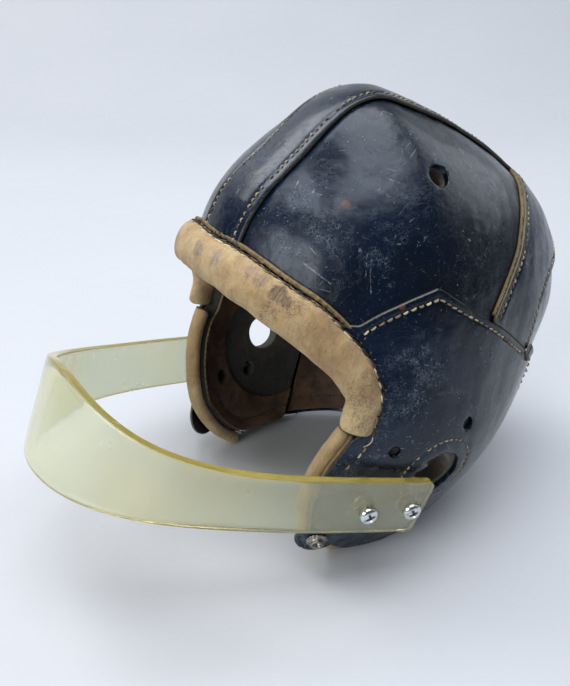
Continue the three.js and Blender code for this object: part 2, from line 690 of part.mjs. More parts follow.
// Screws through the bar into the ear flaps, with a bevelled spacer and a nut on each
function screwShape(reach) {
  const profile = [
    [0, 2.8], [3.0, 2.35], [SCREW_HEAD - 0.3, 1.1], [SCREW_HEAD, 0], [SCREW_SHANK, 0], [SCREW_SHANK, -reach], [0, -reach],
  ].reverse().map(([r, z]) => new THREE.Vector2(r, z));
  const body = new THREE.LatheGeometry(profile, 8).rotateX(Math.PI / 2);
  const slots = [0, 1].map((k) => new THREE.BoxGeometry(5.4, 1.1, 2.6).rotateZ(k * Math.PI / 2).translate(0, 0, 2.8));
  return cut(body, slots);
}

const screwSites = [];
for (const side of [1, -1]) {
  for (const screw of SCREWS) {
    const s = screw.s * side;
    const f = barFrame(s);
    screwSites.push({
      name: `${screw.name}_${side > 0 ? 'left' : 'right'}`,
      side,
      point: f.centre.clone().addScaledVector(f.up, screw.v * f.half),
      out: f.out,
      up: f.up,
    });
  }
}

const barHoles = screwSites.map(({ point, out, up }) => aimed(rod(SCREW_SHANK + 0.35, -6, 6, 8), point, out, up));
add('face_bar', cut(tube(barRings), barHoles), BAR_CLEAR);

for (const side of [1, -1]) {
  const tag = side > 0 ? 'left' : 'right';
  const sites = screwSites.filter((site) => site.side === side);
  const shankHoles = sites.map(({ point, out, up }) => aimed(rod(SCREW_SHANK + 0.4, -24, 0, 8), point, out, up));
  const pockets = sites.map(({ point, out, up }) => aimed(rod(5.0, -30, 0, 8), point, out, up));
  const vent = (radius, n) => holeAt(CROWN_VENT, radius, n, side);

  const panel = within(baseShell, SIDE_GRID, side).subtract(toSolid(rollBed)).subtract(toSolid(vent(CROWN_VENT.radius, 12)));
  add(`side_panel_${tag}`, toGeometry(largest(panel)), LEATHER_BLACK);
  add(`back_panel_${tag}`, toGeometry(within(baseShell, BACK_GRID, side)), LEATHER_BLACK);
  const besideStrip = new THREE.BoxGeometry(2 * (STRIP_HALF + GAP), 400, 400);
  add(`rear_quarter_${tag}`, cut(within(overlayShell, QUARTER_GRID, side), [besideStrip]), LEATHER_BLACK);

  const flapHoles = [holeAt(EAR_HOLE, EAR_HOLE.radius, 18, side), ...FLAP_VENTS.map((v) => holeAt(v, v.radius, 8, side))];
  const flap = within(overlayShell, FLAP_GRID, side);
  const flapCut = toSolid(cut(flap, [...flapHoles, ...shankHoles, rollBed]));
  add(`ear_flap_${tag}`, toGeometry(largest(flapCut)), LEATHER_BLACK);

  const pad = within(earShell, PAD_GRID, side);
  const padCut = toSolid(cut(pad, [holeAt(EAR_HOLE, PAD_HOLE, 18, side), ...pockets, rollBed]));
  add(`ear_pad_${tag}`, toGeometry(largest(padCut)), FELT_DARK);
  const lining = within(liningShell, PAD_GRID, side);
  add(`ear_lining_${tag}`, cut(lining, [holeAt(RECESS, RECESS.radius, 20, side), ...pockets]), LEATHER_BROWN);

  for (const site of sites) {
    const inner = -BAR_THICK / 2 - GAP;
    const head = site.point.clone().addScaledVector(site.out, BAR_THICK / 2 + GAP);
    add(`screw_${site.name}`, aimed(screwShape(SCREW_REACH), head, site.out, site.up), STEEL);
    const stack = aimed(rod(4.2, STACK_END, inner, 8), site.point, site.out, site.up);
    const bore = aimed(rod(SCREW_SHANK + 0.35, -30, 5, 6), site.point, site.out, site.up);
    const pieces = toSolid(stack).subtract(toSolid(bore)).subtract(bandShell).decompose();
    pieces.sort((a, b) => b.volume() - a.volume());
    add(`spacer_${site.name}`, toGeometry(pieces[0]), BRASS);
    add(`nut_${site.name}`, toGeometry(pieces[1]), BRASS);
  }

  // Thin roll that binds the flap's front edge
  const bindingFrames = framesAlong(bindingPath, () => BINDING_WIDE + 0.4, () => -3.4);
  const bindingSizes = (share) => {
    const end = Math.min(share, 1 - share) * 110;
    const round = end < 3 ? 0.5 + 0.5 * Math.sqrt(1 - (1 - end / 3) ** 2) : 1;
    return { wide: BINDING_WIDE * round, high: BINDING_HIGH * round };
  };
  const binding = tube(ovalRings(bindingFrames, 8, bindingSizes, 2.6));
  if (side < 0) binding.scale(-1, 1, 1);
  const bindingCut = toSolid(cut(side < 0 ? flipped(binding) : binding, [rollBed]));
  add(`edge_roll_${tag}`, toGeometry(largest(bindingCut)), LEATHER_TAN);

  // Snap tab on the outside of the flap, and its snap
  const snapPhi = side > 0 ? SNAP_AT.phi * RAD : Math.PI - SNAP_AT.phi * RAD;
  const snapOut = headNormal(snapPhi, SNAP_AT.w);
  const snapPoint = shell(snapPhi, SNAP_AT.w, 0);
  const inward = shell(side > 0 ? -22 * RAD : Math.PI + 22 * RAD, 1.74, 0).sub(snapPoint);
  const tabShape = new THREE.Shape();
  tabShape.absarc(0, 0, TAB_HALF, Math.PI / 2, Math.PI * 1.5, false);
  tabShape.lineTo(TAB_LENGTH, -TAB_HALF);
  tabShape.lineTo(TAB_LENGTH, TAB_HALF);
  const tabPrism = new THREE.ExtrudeGeometry(tabShape, { depth: 40, bevelEnabled: false, curveSegments: 8 });
  const tab = tabShell.intersect(toSolid(aimed(tabPrism.translate(0, 0, -20), snapPoint, snapOut, inward)));
  add(`snap_tab_${tag}`, toGeometry(tab), LEATHER_BLACK);
  const snapBase = shell(snapPhi, SNAP_AT.w, TAB_FACE + 0.4);
  add(`snap_${tag}`, aimed(snapShape(), snapBase, snapOut, inward), STEEL_DARK);
}

const crownPart = crownShell.intersect(toSolid(cup(LATTICE_TURNS, crownLevels, -15, 6))).subtract(toSolid(rollBed));
add('crown_lining', cut(largest(crownPart), [holeAt(CROWN_VENT, 6.5, 12, 1), holeAt(CROWN_VENT, 6.5, 12, -1)]), FELT_BROWN);
add('neck_lining', toGeometry(within(neckShell, NECK_GRID)), LEATHER_BROWN);

// Lean it back into its rest pose, with the floor at z = 0 and the box centred on the axes
helmet.rotation.x = -TIP_BACK;
helmet.updateMatrixWorld(true);
const restBox = new THREE.Box3().setFromObject(helmet, true);
helmet.position.set(0, -(restBox.min.y + restBox.max.y) / 2, -restBox.min.z);
helmet.updateMatrixWorld(true);

export default helmet;
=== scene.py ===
"""Dressed model of a worn leather football helmet with a padded brow roll and a clear face bar.

Shapes are worked out in millimetres in the helmet's own upright frame, where a place on the head is
a turn phi from the wearer's left and a level w: 0 at the crown, 1 at the widest ring, 2 at the flap
bottoms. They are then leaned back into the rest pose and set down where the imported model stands.
"""
import math
from functools import partial, reduce

import bmesh
import bpy
import numpy as np
from mathutils import Matrix, Vector


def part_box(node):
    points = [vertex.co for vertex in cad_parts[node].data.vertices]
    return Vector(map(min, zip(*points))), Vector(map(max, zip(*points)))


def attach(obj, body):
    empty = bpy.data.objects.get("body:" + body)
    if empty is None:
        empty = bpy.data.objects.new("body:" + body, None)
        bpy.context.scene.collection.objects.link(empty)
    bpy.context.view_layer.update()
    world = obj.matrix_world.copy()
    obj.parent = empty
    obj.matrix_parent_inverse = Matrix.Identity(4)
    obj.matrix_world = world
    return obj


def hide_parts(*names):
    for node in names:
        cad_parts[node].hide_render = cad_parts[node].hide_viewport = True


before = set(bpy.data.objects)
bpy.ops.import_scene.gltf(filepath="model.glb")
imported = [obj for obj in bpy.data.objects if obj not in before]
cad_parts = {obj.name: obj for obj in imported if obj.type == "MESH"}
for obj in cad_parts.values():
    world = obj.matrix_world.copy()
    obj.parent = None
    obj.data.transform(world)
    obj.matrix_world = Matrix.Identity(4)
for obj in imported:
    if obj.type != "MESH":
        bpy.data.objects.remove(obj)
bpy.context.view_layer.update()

MM = 0.001
LEFT, RIGHT = 1, -1
SIDE_NAME = {LEFT: "left", RIGHT: "right"}
UPWARDS = np.array([0.0, 0.0, 1.0])

# Driving dimensions of the head shape, in millimetres
CROWN_HEIGHT = 110.6
DROP = 139.0
CROWN_POWER = 2.18
CROWN_ROUND = 1.62
CROWN_SHIFT = -21.0
CROWN_LEAN = -0.05
TIP_BACK = math.radians(13.6)
RING_Z = [-139, -106, -62, -24, 10, 58, 86, 113]
RING_HALF = [69, 86, 101, 98, 93, 90, 93, 98]
RING_FRONT = [93, 98, 100, 100, 99, 92, 81, 79]
RING_BACK = [75, 90, 109, 126, 139, 150, 161, 161]
INSIDE_POINT = np.array([0.0, 0.0, -15.0])

# Layer heights off the head shape
GAP = 0.3
LEATHER = 3.0
OVERLAY = 2.4
OUTER = GAP + OVERLAY
FLAP_FACE = 3.3
CROWN_FELT = 4.0
EAR_FELT = 9.0
LINING = 1.8
NECK_LINING = 2.4
STRIP_HALF = 19.4
UNDER_ROLL = 4.5
SEAM_GAP = 0.2

# Holes: turn in degrees, level and radius
EAR_HOLE = (2.4, 1.532, 15.5)
PAD_HOLE = (2.4, 1.532, 11.5)
RECESS = (4.5, 1.595, 37.5)
CROWN_VENT = (-2.0, 0.49, 6.2)
FELT_VENT = (-2.0, 0.49, 6.5)
FLAP_VENTS = [(-16.5, 1.414, 3.2), (8.3, 1.31, 3.5)]

# Dents and bulges: turn, level, lift, spread, on both sides
DENTS = [
    (-41, 0.31, 2.2, 15, False), (-61.5, 0.6, -3.6, 13, False), (-97, 0.59, -1.8, 12, False),
    (-124, 0.45, -2.6, 24, False), (-27.5, 0.48, -1.6, 17, False), (-13, 1.61, -2.4, 15, True),
]

# Outlines: turn in degrees and level
ROLL_LINE = [
    (-90, 0.86), (-77.4, 0.862), (-68.3, 0.877), (-58.2, 0.904), (-49, 0.931), (-41.5, 0.968),
    (-36, 1.007), (-31.4, 1.051), (-27, 1.118), (-24.5, 1.18), (-23.8, 1.236), (-24.1, 1.294),
    (-24.6, 1.358),
]
FLAP_TOP_FRONT = [(-35.6, 0.97), (-30.6, 0.93), (-22, 0.88), (-11.8, 0.836)]
FLAP_TOP_REAR = [(-11.8, 0.836), (-3.7, 0.869), (5.8, 0.91), (19.4, 0.963), (30.6, 1.026), (37.6, 1.076)]
FLAP_REAR = [
    (37.6, 1.076), (41.8, 1.13), (44.2, 1.2), (45.2, 1.31), (42.6, 1.5), (38, 1.67), (31, 1.83), (24, 1.92),
]
FLAP_BOTTOM = [
    (-35.8, 1.812), (-29.7, 1.91), (-21.7, 1.975), (-14, 2), (-5, 1.995), (6, 1.978), (15, 1.958),
    (24, 1.92),
]
FLAP_FRONT = [
    (-29.8, 1.37), (-30.8, 1.41), (-32.7, 1.47), (-34.5, 1.545), (-35.7, 1.632), (-36.4, 1.722),
    (-35.8, 1.812),
]
SIDE_BOTTOM = [(-31, 1.075), (-21, 1.026), (-10, 0.994), (3, 1.011), (14.2, 1.052), (24.9, 1.095)]
MID_SEAM = [
    (89.7, 0.554), (79, 0.568), (68, 0.61), (54, 0.66), (43.5, 0.73), (35.8, 0.802), (29.2, 0.87),
    (24.7, 0.958), (24.7, 1.095),
]
SEAM_ONE = [
    (76, 0.465), (71, 0.475), (61, 0.508), (49, 0.573), (39.1, 0.656), (30.8, 0.737), (21.7, 0.825),
    (14.2, 0.916),
]
SEAM_TWO = [
    (80.6, 0.716), (72, 0.732), (62, 0.775), (51, 0.824), (43.9, 0.884), (40.2, 0.942), (37.8, 1.054),
]
BACK_FRONT = [(24.9, 1.095), (25.5, 1.3), (23.5, 1.6), (20, 1.8), (17, 1.94)]
NECK_EDGE = [(89.8, 1.849), (70, 1.856), (50, 1.875), (35, 1.905), (17, 1.94)]
NECK_TOP, NECK_SPAN, NECK_SHORT = 1.112, 0.72, 0.014
NECK_SIDE = [(1.1, 25.3), (1.3, 25.9), (1.6, 23.9), (1.8, 20.4), (1.94, 17.4)]
CROWN_EDGE = [
    (-90, 0.94), (-49, 1.0), (-41.5, 1.03), (-36, 1.05), (-31, 1.055), (-21, 1.02), (-9, 0.985),
    (5, 1.005), (16, 1.045), (26, 1.085), (50, 1.095), (90, 1.095),
]

# Brow roll: half width, half height and lift at the brow, and how much less at the cheeks
ROLL_WIDE, ROLL_HIGH, ROLL_LIFT = (12.6, 3.2), (7.5, 0.9), (3.6, 1.6)
ROLL_SIDES, ROLL_LENGTH = 44, 400

# Roll of the flap's edge: half width, half height, and how far out and down its middle lies
EDGE_WIDE, EDGE_HIGH, EDGE_OUT, EDGE_DOWN = 3.85, 4.85, 4.2, 3.4
EDGE_SIDES, EDGE_LENGTH = 28, 110

# Quilted channels of the crown's felt: distance from the middle, depth and width
QUILT_AT, QUILT_DEEP, QUILT_WIDE = 26, 1.4, 2.2

# Face bar, its screws and the chin strap snaps
BAR_THICK = 6.2
BAR_FRONT_WIDTH, BAR_SIDE_WIDTH = 59.0, 33.7
BAR_FRONT_LEAN, BAR_SIDE_LEAN = -0.17, 0.09
BAR_END = 0.99
BAR_SLANT = 0.0145
BAR_CORNER = 3.8
BAR_SAG = 6.5
BAR_S = [0, 0.16, 0.32, 0.5, 0.72, 1]
BAR_X = [0, 22.8, 44.4, 66.5, 87.4, 106.7]
BAR_Y = [-178, -174.9, -164.7, -142.2, -92.1, 0.8]
BAR_Z = [-76.6, -77.4, -79.8, -82.9, -86.3, -89.5]
SCREWS = {"front": (0.889, -0.23), "rear": (0.962, -0.09)}
SCREW_HEAD, SCREW_SHANK, SCREW_REACH, STACK_END = 5.2, 2.1, 24.0, -20.0
BORE, NUT_BORE = SCREW_SHANK + 0.4, 5.0
SNAP_AT = (-31.2, 1.9)
TAB_HALF, TAB_LENGTH, TAB_LOW, TAB_FACE = 12.3, 17.0, 3.3, 5.4

# Stitching: pitch, length and radius
PITCH, STITCH, THREAD = 3.7, 2.7, 0.52
LINING_THREAD = (3.0, 2.6, 0.42)
SEAM_INSET = 4.5


def unit(v):
    """Vectors divided by their lengths."""
    return v / np.maximum(np.linalg.norm(v, axis=-1, keepdims=True), 1e-12)


def natural_spline(xs, ys):
    """Natural cubic spline through a table: a cubic between knots, with no bend at the two ends."""
    xs, ys = np.asarray(xs, float), np.asarray(ys, float)
    step, n = np.diff(xs), len(xs)
    system, right = np.eye(n), np.zeros(n)
    for i in range(1, n - 1):
        system[i, i - 1:i + 2] = step[i - 1], 2 * (step[i - 1] + step[i]), step[i]
        right[i] = 6 * ((ys[i + 1] - ys[i]) / step[i] - (ys[i] - ys[i - 1]) / step[i - 1])
    bend = np.linalg.solve(system, right)

    def value(x):
        """Cubic of the two knots that hold x between them."""
        k = np.clip(np.searchsorted(xs, x) - 1, 0, n - 2)
        h = step[k]
        a, b = (xs[k + 1] - x) / h, (x - xs[k]) / h
        return a * ys[k] + b * ys[k + 1] + ((a**3 - a) * bend[k] + (b**3 - b) * bend[k + 1]) * h * h / 6
    return value


half_width = natural_spline(RING_Z, RING_HALF)
front_reach = natural_spline(RING_Z, RING_FRONT)
back_reach = natural_spline(RING_Z, RING_BACK)


def ring(w):
    """Height and half axes of the ring at level w: a cosine dome above level 1, straight down below."""
    w = np.asarray(w, float)
    c = np.where(w < 1, np.cos(np.clip(w, 0, 1) * np.pi / 2), 0)
    z = np.where(w < 1, CROWN_HEIGHT * c, -(w - 1) * DROP)
    grow = np.maximum(1 - c**CROWN_POWER, 1e-9)**(1 / CROWN_ROUND)
    return z, half_width(z) * grow, front_reach(z) * grow, back_reach(z) * grow


def bare_head(phi, w):
    """Point of the head shape: an ellipse with its own front and back reach at each level, sheared
    forwards and down towards the crown."""
    phi, w = np.broadcast_arrays(np.asarray(phi, float), np.asarray(w, float))
    z, a, front, back = ring(w)
    c, s = np.cos(phi), np.sin(phi)
    reach = ((c / a)**2 + (s / np.where(s < 0, front, back))**2)**-0.5
    up = np.clip(z / CROWN_HEIGHT, 0, 1)
    y = reach * s
    return np.stack([reach * c, y + CROWN_SHIFT * up**2, z + CROWN_LEAN * y * up], -1)


def head_normal(phi, w):
    """Outward normal: cross product of the steps down the head and round it."""
    e = 0.002
    w = np.maximum(w, 0.01)
    along = bare_head(phi + e, w) - bare_head(phi - e, w)
    down = bare_head(phi, w + e) - bare_head(phi, w - e)
    return unit(np.cross(down, along))


def uneven(points, size, seed):
    """Smooth height from about -1 to 1: sine waves of about one wavelength in seven directions."""
    rng = np.random.default_rng(seed)
    total = np.zeros(points.shape[:-1])
    for _ in range(7):
        direction = unit(rng.normal(size=3)) * rng.uniform(0.7, 1.5) / size
        total += np.sin(points @ direction * 2 * np.pi + rng.uniform(0, 2 * np.pi))
    return total / 4


def relief(points):
    """Bell-shaped dents and bulges, with the slow and quick waviness of old leather."""
    total = 0.3 * uneven(points, 46, 3) + 0.14 * uneven(points, 16, 4)
    for deg, w, lift, spread, both in DENTS:
        centre = bare_head(math.radians(deg), w)
        seen = points.copy()
        if both:
            seen[..., 0] = np.abs(seen[..., 0])
        total += lift * np.exp(-((seen - centre)**2).sum(-1) / (2 * spread**2))
    return total


def side_turn(phi, side):
    """The turn itself on the left, and pi minus the turn on the right."""
    return phi if side == LEFT else np.pi - phi


def mirrored(points, side):
    """The points themselves on the left, with x turned over on the right."""
    return points if side == LEFT else points * [-1, 1, 1]


def shell(phi, w, height):
    """Point at a height along the head's normal, on top of the relief."""
    p = bare_head(phi, w)
    return p + head_normal(phi, w) * (np.asarray(height) + relief(p))[..., None]


def measure(points):
    """Size below 1 inside the head, turn and level of any point."""
    z, y = points[..., 2], points[..., 1]
    for _ in range(8):
        up = np.clip(z / CROWN_HEIGHT, 0, 1)
        y = points[..., 1] - CROWN_SHIFT * up**2
        z = points[..., 2] - CROWN_LEAN * y * up
    w = np.where(z > 0, np.arccos(np.clip(z / CROWN_HEIGHT, 0, 1)) * 2 / np.pi, 1 - z / DROP)
    _, a, front, back = ring(w)
    size = (points[..., 0] / a)**2 + (y / np.where(y < 0, front, back))**2
    return np.where(z >= CROWN_HEIGHT, 9.0, size), np.arctan2(y, points[..., 0]), w


def strike(origin, direction):
    """Turn and level where rays from inside leave the head, found by halving."""
    low, high = np.full(direction.shape[:-1], 5.0), np.full(direction.shape[:-1], 230.0)
    for _ in range(30):
        mid = (low + high) / 2
        inside = measure(origin + direction * mid[..., None])[0] < 1
        low, high = np.where(inside, mid, low), np.where(inside, high, mid)
    return measure(origin + direction * low[..., None])[1:]


def locate(points):
    """Turn and level where the rays from the inside point through the points leave the head."""
    return strike(INSIDE_POINT, unit(points - INSIDE_POINT))


def spaced(points, steps):
    """The same line in even steps, or at given shares of its length."""
    run = np.concatenate([[0], np.cumsum(np.linalg.norm(np.diff(points, axis=0), axis=1))])
    shares = np.linspace(0, 1, steps + 1) if np.isscalar(steps) else steps
    return np.stack([np.interp(shares * run[-1], run, points[:, k]) for k in range(3)], -1)


def length_of(points):
    """Sum of the steps along a line."""
    return float(np.linalg.norm(np.diff(points, axis=0), axis=1).sum())


def smooth_line(knots, steps=240):
    """Catmull-Rom curve, by three rounds of mixing neighbours, with its knots spaced by the square root
    of their distance, in even steps."""
    p = np.vstack([2 * knots[0] - knots[1], knots, 2 * knots[-1] - knots[-2]])
    t = np.concatenate([[0], np.cumsum(np.maximum(np.linalg.norm(np.diff(p, axis=0), axis=1), 1e-6)**0.5)])
    fine = []
    for i in range(1, len(p) - 2):
        u = np.linspace(t[i], t[i + 1], 40, endpoint=False)[:, None]
        knot, mixed = t[i - 1:i + 3], p[i - 1:i + 3]
        for spans in (((0, 1), (1, 2), (2, 3)), ((0, 2), (1, 3)), ((1, 2),)):
            mixed = [((knot[b] - u) * one + (u - knot[a]) * two) / (knot[b] - knot[a])
                     for (a, b), one, two in zip(spans, mixed[:-1], mixed[1:])]
        fine.append(mixed[0])
    return spaced(np.vstack(fine + [knots[-1:]]), steps)


def on_head(table):
    """Points of the bare head from rows of turn in degrees and level."""
    table = np.array(table, float)
    return bare_head(np.radians(table[:, 0]), table[:, 1])


def outline(table, steps=240):
    """Smooth line through the places of a table."""
    return smooth_line(on_head(table), steps)


def tangents(points):
    """Direction along a line, from the difference of the neighbours."""
    return unit(np.gradient(points, axis=0))


def normals_at(points):
    """Head normals at the turns and levels of the points."""
    return head_normal(*measure(points)[1:])


def moved(points, distance):
    """The line shifted sideways over the head, along normal times tangent."""
    return points + unit(np.cross(normals_at(points), tangents(points))) * distance


def slice_angle(p):
    """Angle of a point about the inside point, in the plane of y and z."""
    return math.atan2(p[2] - INSIDE_POINT[2], p[1])


def slice_points(x, angles):
    """Points of the head's section at a given x, by angle about the inside point."""
    direction = np.stack([np.zeros_like(angles), np.cos(angles), np.sin(angles)], -1)
    return bare_head(*strike(INSIDE_POINT + [x, 0, 0], direction))


def lengthwise(x, start, end):
    """Line over the head at a given x between two points, in even steps."""
    return spaced(slice_points(x, np.linspace(slice_angle(start), slice_angle(end), 400)), 240)


def rim_shares(length, spacing):
    """Shares of a length: close together within 2 mm of both ends and even between."""
    rim = np.array([0.0, 0.22, 0.55, 1.0, 1.7]) / length
    inner = np.linspace(rim[-1], 1 - rim[-1], max(int(length / spacing), 3))
    return np.concatenate([rim[:-1], inner, 1 - rim[:-1][::-1]])


def patch(top, bottom, left, right, spacing):
    """Four-sided patch blended from its border lines, then dropped onto the head as turns and levels."""
    u = rim_shares((length_of(top) + length_of(bottom)) / 2, spacing)
    v = rim_shares((length_of(left) + length_of(right)) / 2, spacing)
    t, b, l, r = spaced(top, u), spaced(bottom, u), spaced(left, v), spaced(right, v)
    uu, vv = u[:, None, None], v[None, :, None]
    mixed = t[:, None] * (1 - vv) + b[:, None] * vv + l[None] * (1 - uu) + r[None] * uu
    mixed -= (1 - uu) * (1 - vv) * t[0] + uu * (1 - vv) * t[-1] + (1 - uu) * vv * b[0] + uu * vv * b[-1]
    return locate(mixed)


# Rest pose: leaned back about the X axis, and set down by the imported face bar's box
def leaned(v):
    """The points turned about the X axis by the lean."""
    c, s = math.cos(TIP_BACK), math.sin(TIP_BACK)
    return np.stack([v[..., 0], v[..., 1] * c + v[..., 2] * s, v[..., 2] * c - v[..., 1] * s], -1)


def both_ways(values, sign):
    """A table run backwards with a sign, then forwards from its first value."""
    return [sign * v for v in values[:0:-1]] + list(values)


bar_x = natural_spline(both_ways(BAR_S, -1), both_ways(BAR_X, -1))
bar_y = natural_spline(both_ways(BAR_S, -1), both_ways(BAR_Y, 1))
bar_z = natural_spline(both_ways(BAR_S, -1), both_ways(BAR_Z, 1))


def bar_frame(s):
    """Centre, width direction, outward direction and half width of the bar at s: the width and the
    lean go from the front's to the side's by a cosine."""
    s = np.asarray(s, float)
    dx, dy = bar_x(s + 0.002) - bar_x(s - 0.002), bar_y(s + 0.002) - bar_y(s - 0.002)
    nx, ny = dy / np.hypot(dx, dy), -dx / np.hypot(dx, dy)
    front = 0.5 + 0.5 * np.cos(np.pi * np.minimum(np.abs(s) / 0.75, 1))
    lean = BAR_SIDE_LEAN + (BAR_FRONT_LEAN - BAR_SIDE_LEAN) * front
    t = np.clip((0.1 - s) / 0.6, 0, 1)
    centre = np.stack([bar_x(s), bar_y(s), bar_z(s) - BAR_SAG * t * t * (3 - 2 * t)], -1)
    up = np.stack([nx * np.sin(lean), ny * np.sin(lean), np.cos(lean)], -1)
    out = np.stack([nx * np.cos(lean), ny * np.cos(lean), -np.sin(lean)], -1)
    return centre, up, out, (BAR_SIDE_WIDTH + (BAR_FRONT_WIDTH - BAR_SIDE_WIDTH) * front) / 2


def rest_shift():
    """Where the leaned helmet stands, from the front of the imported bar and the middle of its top."""
    low, high = (np.array(corner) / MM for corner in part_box("face_bar"))
    centre, up, out, half = bar_frame(np.linspace(-0.96, 0.96, 400))
    face, side = BAR_THICK / 2, BAR_THICK / 4
    rims = [(half - 1.7, face), (half - 0.3, side), (0.3 - half, side), (1.7 - half, face)]
    edge = np.concatenate([leaned(centre + up * a[:, None] + out * b) for a, b in rims])
    return np.array([0, low[1] - edge[:, 1].min(), high[2] - edge[:, 2].max()])


REST_SHIFT = rest_shift()


def placed(points):
    """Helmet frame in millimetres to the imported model's frame in metres."""
    return (leaned(np.asarray(points, float)) + REST_SHIFT) * MM


def new_object(name, data):
    """Object of some data, linked into the scene."""
    made = bpy.data.objects.new(name, data)
    bpy.context.scene.collection.objects.link(made)
    return made


# Meshes from grids of points
def grid_faces(rows, columns, wrap=False):
    """Quads between neighbouring grid points, closed round the columns where wrap is set."""
    i, j = np.meshgrid(np.arange(rows - 1), np.arange(columns if wrap else columns - 1), indexing="ij")
    k = (j + 1) % columns
    here, below = i * columns, (i + 1) * columns
    return np.stack([here + j, here + k, below + k, below + j], -1).reshape(-1, 4)


def make_piece(name, points, quads, material, marks=None):
    """Mesh object from points in metres and quads, turned outwards by the sign of its volume. Marks
    are named values at the points."""
    a, b, c, d = (points[quads[:, k]] for k in range(4))
    if (np.cross(b, c) * a).sum() + (np.cross(c, d) * a).sum() < 0:
        quads = quads[:, ::-1]
    mesh = bpy.data.meshes.new(name)
    mesh.vertices.add(len(points))
    mesh.vertices.foreach_set("co", points.astype(np.float32).ravel())
    mesh.loops.add(quads.size)
    mesh.loops.foreach_set("vertex_index", quads.astype(np.int32).ravel())
    mesh.polygons.add(len(quads))
    mesh.polygons.foreach_set("loop_start", np.arange(0, quads.size, 4, dtype=np.int32))
    mesh.polygons.foreach_set("use_smooth", np.full(len(quads), True))
    mesh.update(calc_edges=True)
    for mark, values in (marks or {}).items():
        layer = mesh.attributes.new(mark, "FLOAT", "POINT")
        layer.data.foreach_set("value", np.asarray(values, np.float32).ravel())
    mesh.materials.append(material)
    return new_object(name, mesh)


def declare(piece, slot, *nodes):
    """The piece rides on the helmet and stands for its nodes, which are hidden; the slot is not used."""
    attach(piece, "root")
    if nodes:
        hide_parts(*nodes)
    return piece


def swap_mesh(piece, mesh):
    """Give the piece a new mesh under its own name, and remove the old one."""
    old = piece.data
    piece.data = mesh
    bpy.data.meshes.remove(old)
    mesh.name = piece.name


def apply_modifiers(piece):
    """Put the evaluated mesh in place of the modifiers."""
    graph = bpy.context.evaluated_depsgraph_get()
    finished = bpy.data.meshes.new_from_object(piece.evaluated_get(graph))
    piece.modifiers.clear()
    swap_mesh(piece, finished)


def prism(outline_points, levels, point, direction, across):
    """Closed cutter: a flat outline stacked at levels along a direction, with a scale at each level."""
    z = unit(np.asarray(direction, float))
    x = unit(across - z * (across @ z))
    y = np.cross(z, x)
    n = len(outline_points)
    flat = outline_points[:, :1] * x + outline_points[:, 1:] * y
    rings = [point + z * h + scale * flat for h, scale in levels]
    shape = bmesh.new()
    grid = [[shape.verts.new(p) for p in placed(r)] for r in rings]
    for low, high in zip(grid[:-1], grid[1:]):
        for k in range(n):
            shape.faces.new([low[k], low[(k + 1) % n], high[(k + 1) % n], high[k]])
    shape.faces.new(grid[0][::-1])
    shape.faces.new(grid[-1])
    bmesh.ops.recalc_face_normals(shape, faces=shape.faces)
    mesh = bpy.data.meshes.new("cutter")
    shape.to_mesh(mesh)
    shape.free()
    return new_object("cutter", mesh)


def circle(radius, sides):
    """Corners of a regular polygon: radius times cosine and sine."""
    turn = np.linspace(0, 2 * np.pi, sides, endpoint=False)
    return radius * np.stack([np.cos(turn), np.sin(turn)], -1)


def subtract(piece, cutters):
    """Boolean difference, applied to the mesh."""
    for cutter in cutters:
        step = piece.modifiers.new("cut", "BOOLEAN")
        step.operation = "DIFFERENCE"
        step.object = cutter
        step.solver = "MANIFOLD"
    apply_modifiers(piece)
    for cutter in cutters:
        bpy.data.objects.remove(cutter)
    return piece


def hole_axis(spot, side):
    """Centre and normal of a hole given by turn, level and radius."""
    turn = side_turn(math.radians(spot[0]), side)
    return bare_head(turn, spot[1]), head_normal(turn, spot[1])


def hole_cutter(spot, side, sides=72):
    """Round cutter along a hole's normal."""
    centre, direction = hole_axis(spot, side)
    return prism(circle(spot[2], sides), [(-30, 1), (14, 1)], centre, direction, UPWARDS)


def run_inset(points):
    """Distance of each grid point from the nearer end of its row, along the row."""
    step = np.linalg.norm(np.diff(points, axis=0), axis=-1)
    run = np.concatenate([np.zeros((1,) + step.shape[1:]), np.cumsum(step, axis=0)])
    return np.minimum(run, run[-1:] - run)


def distance_to(points, line):
    """Distance of every point from a line, by its points 1 mm apart."""
    line = spaced(line, max(int(length_of(line)), 2))
    flat = points.reshape(-1, 3)
    best = np.full(len(flat), 1e9)
    for start in range(0, len(line), 40):
        best = np.minimum(best, ((flat[:, None] - line[start:start + 40])**2).sum(-1).min(1))
    return np.sqrt(best).reshape(points.shape[:-1])


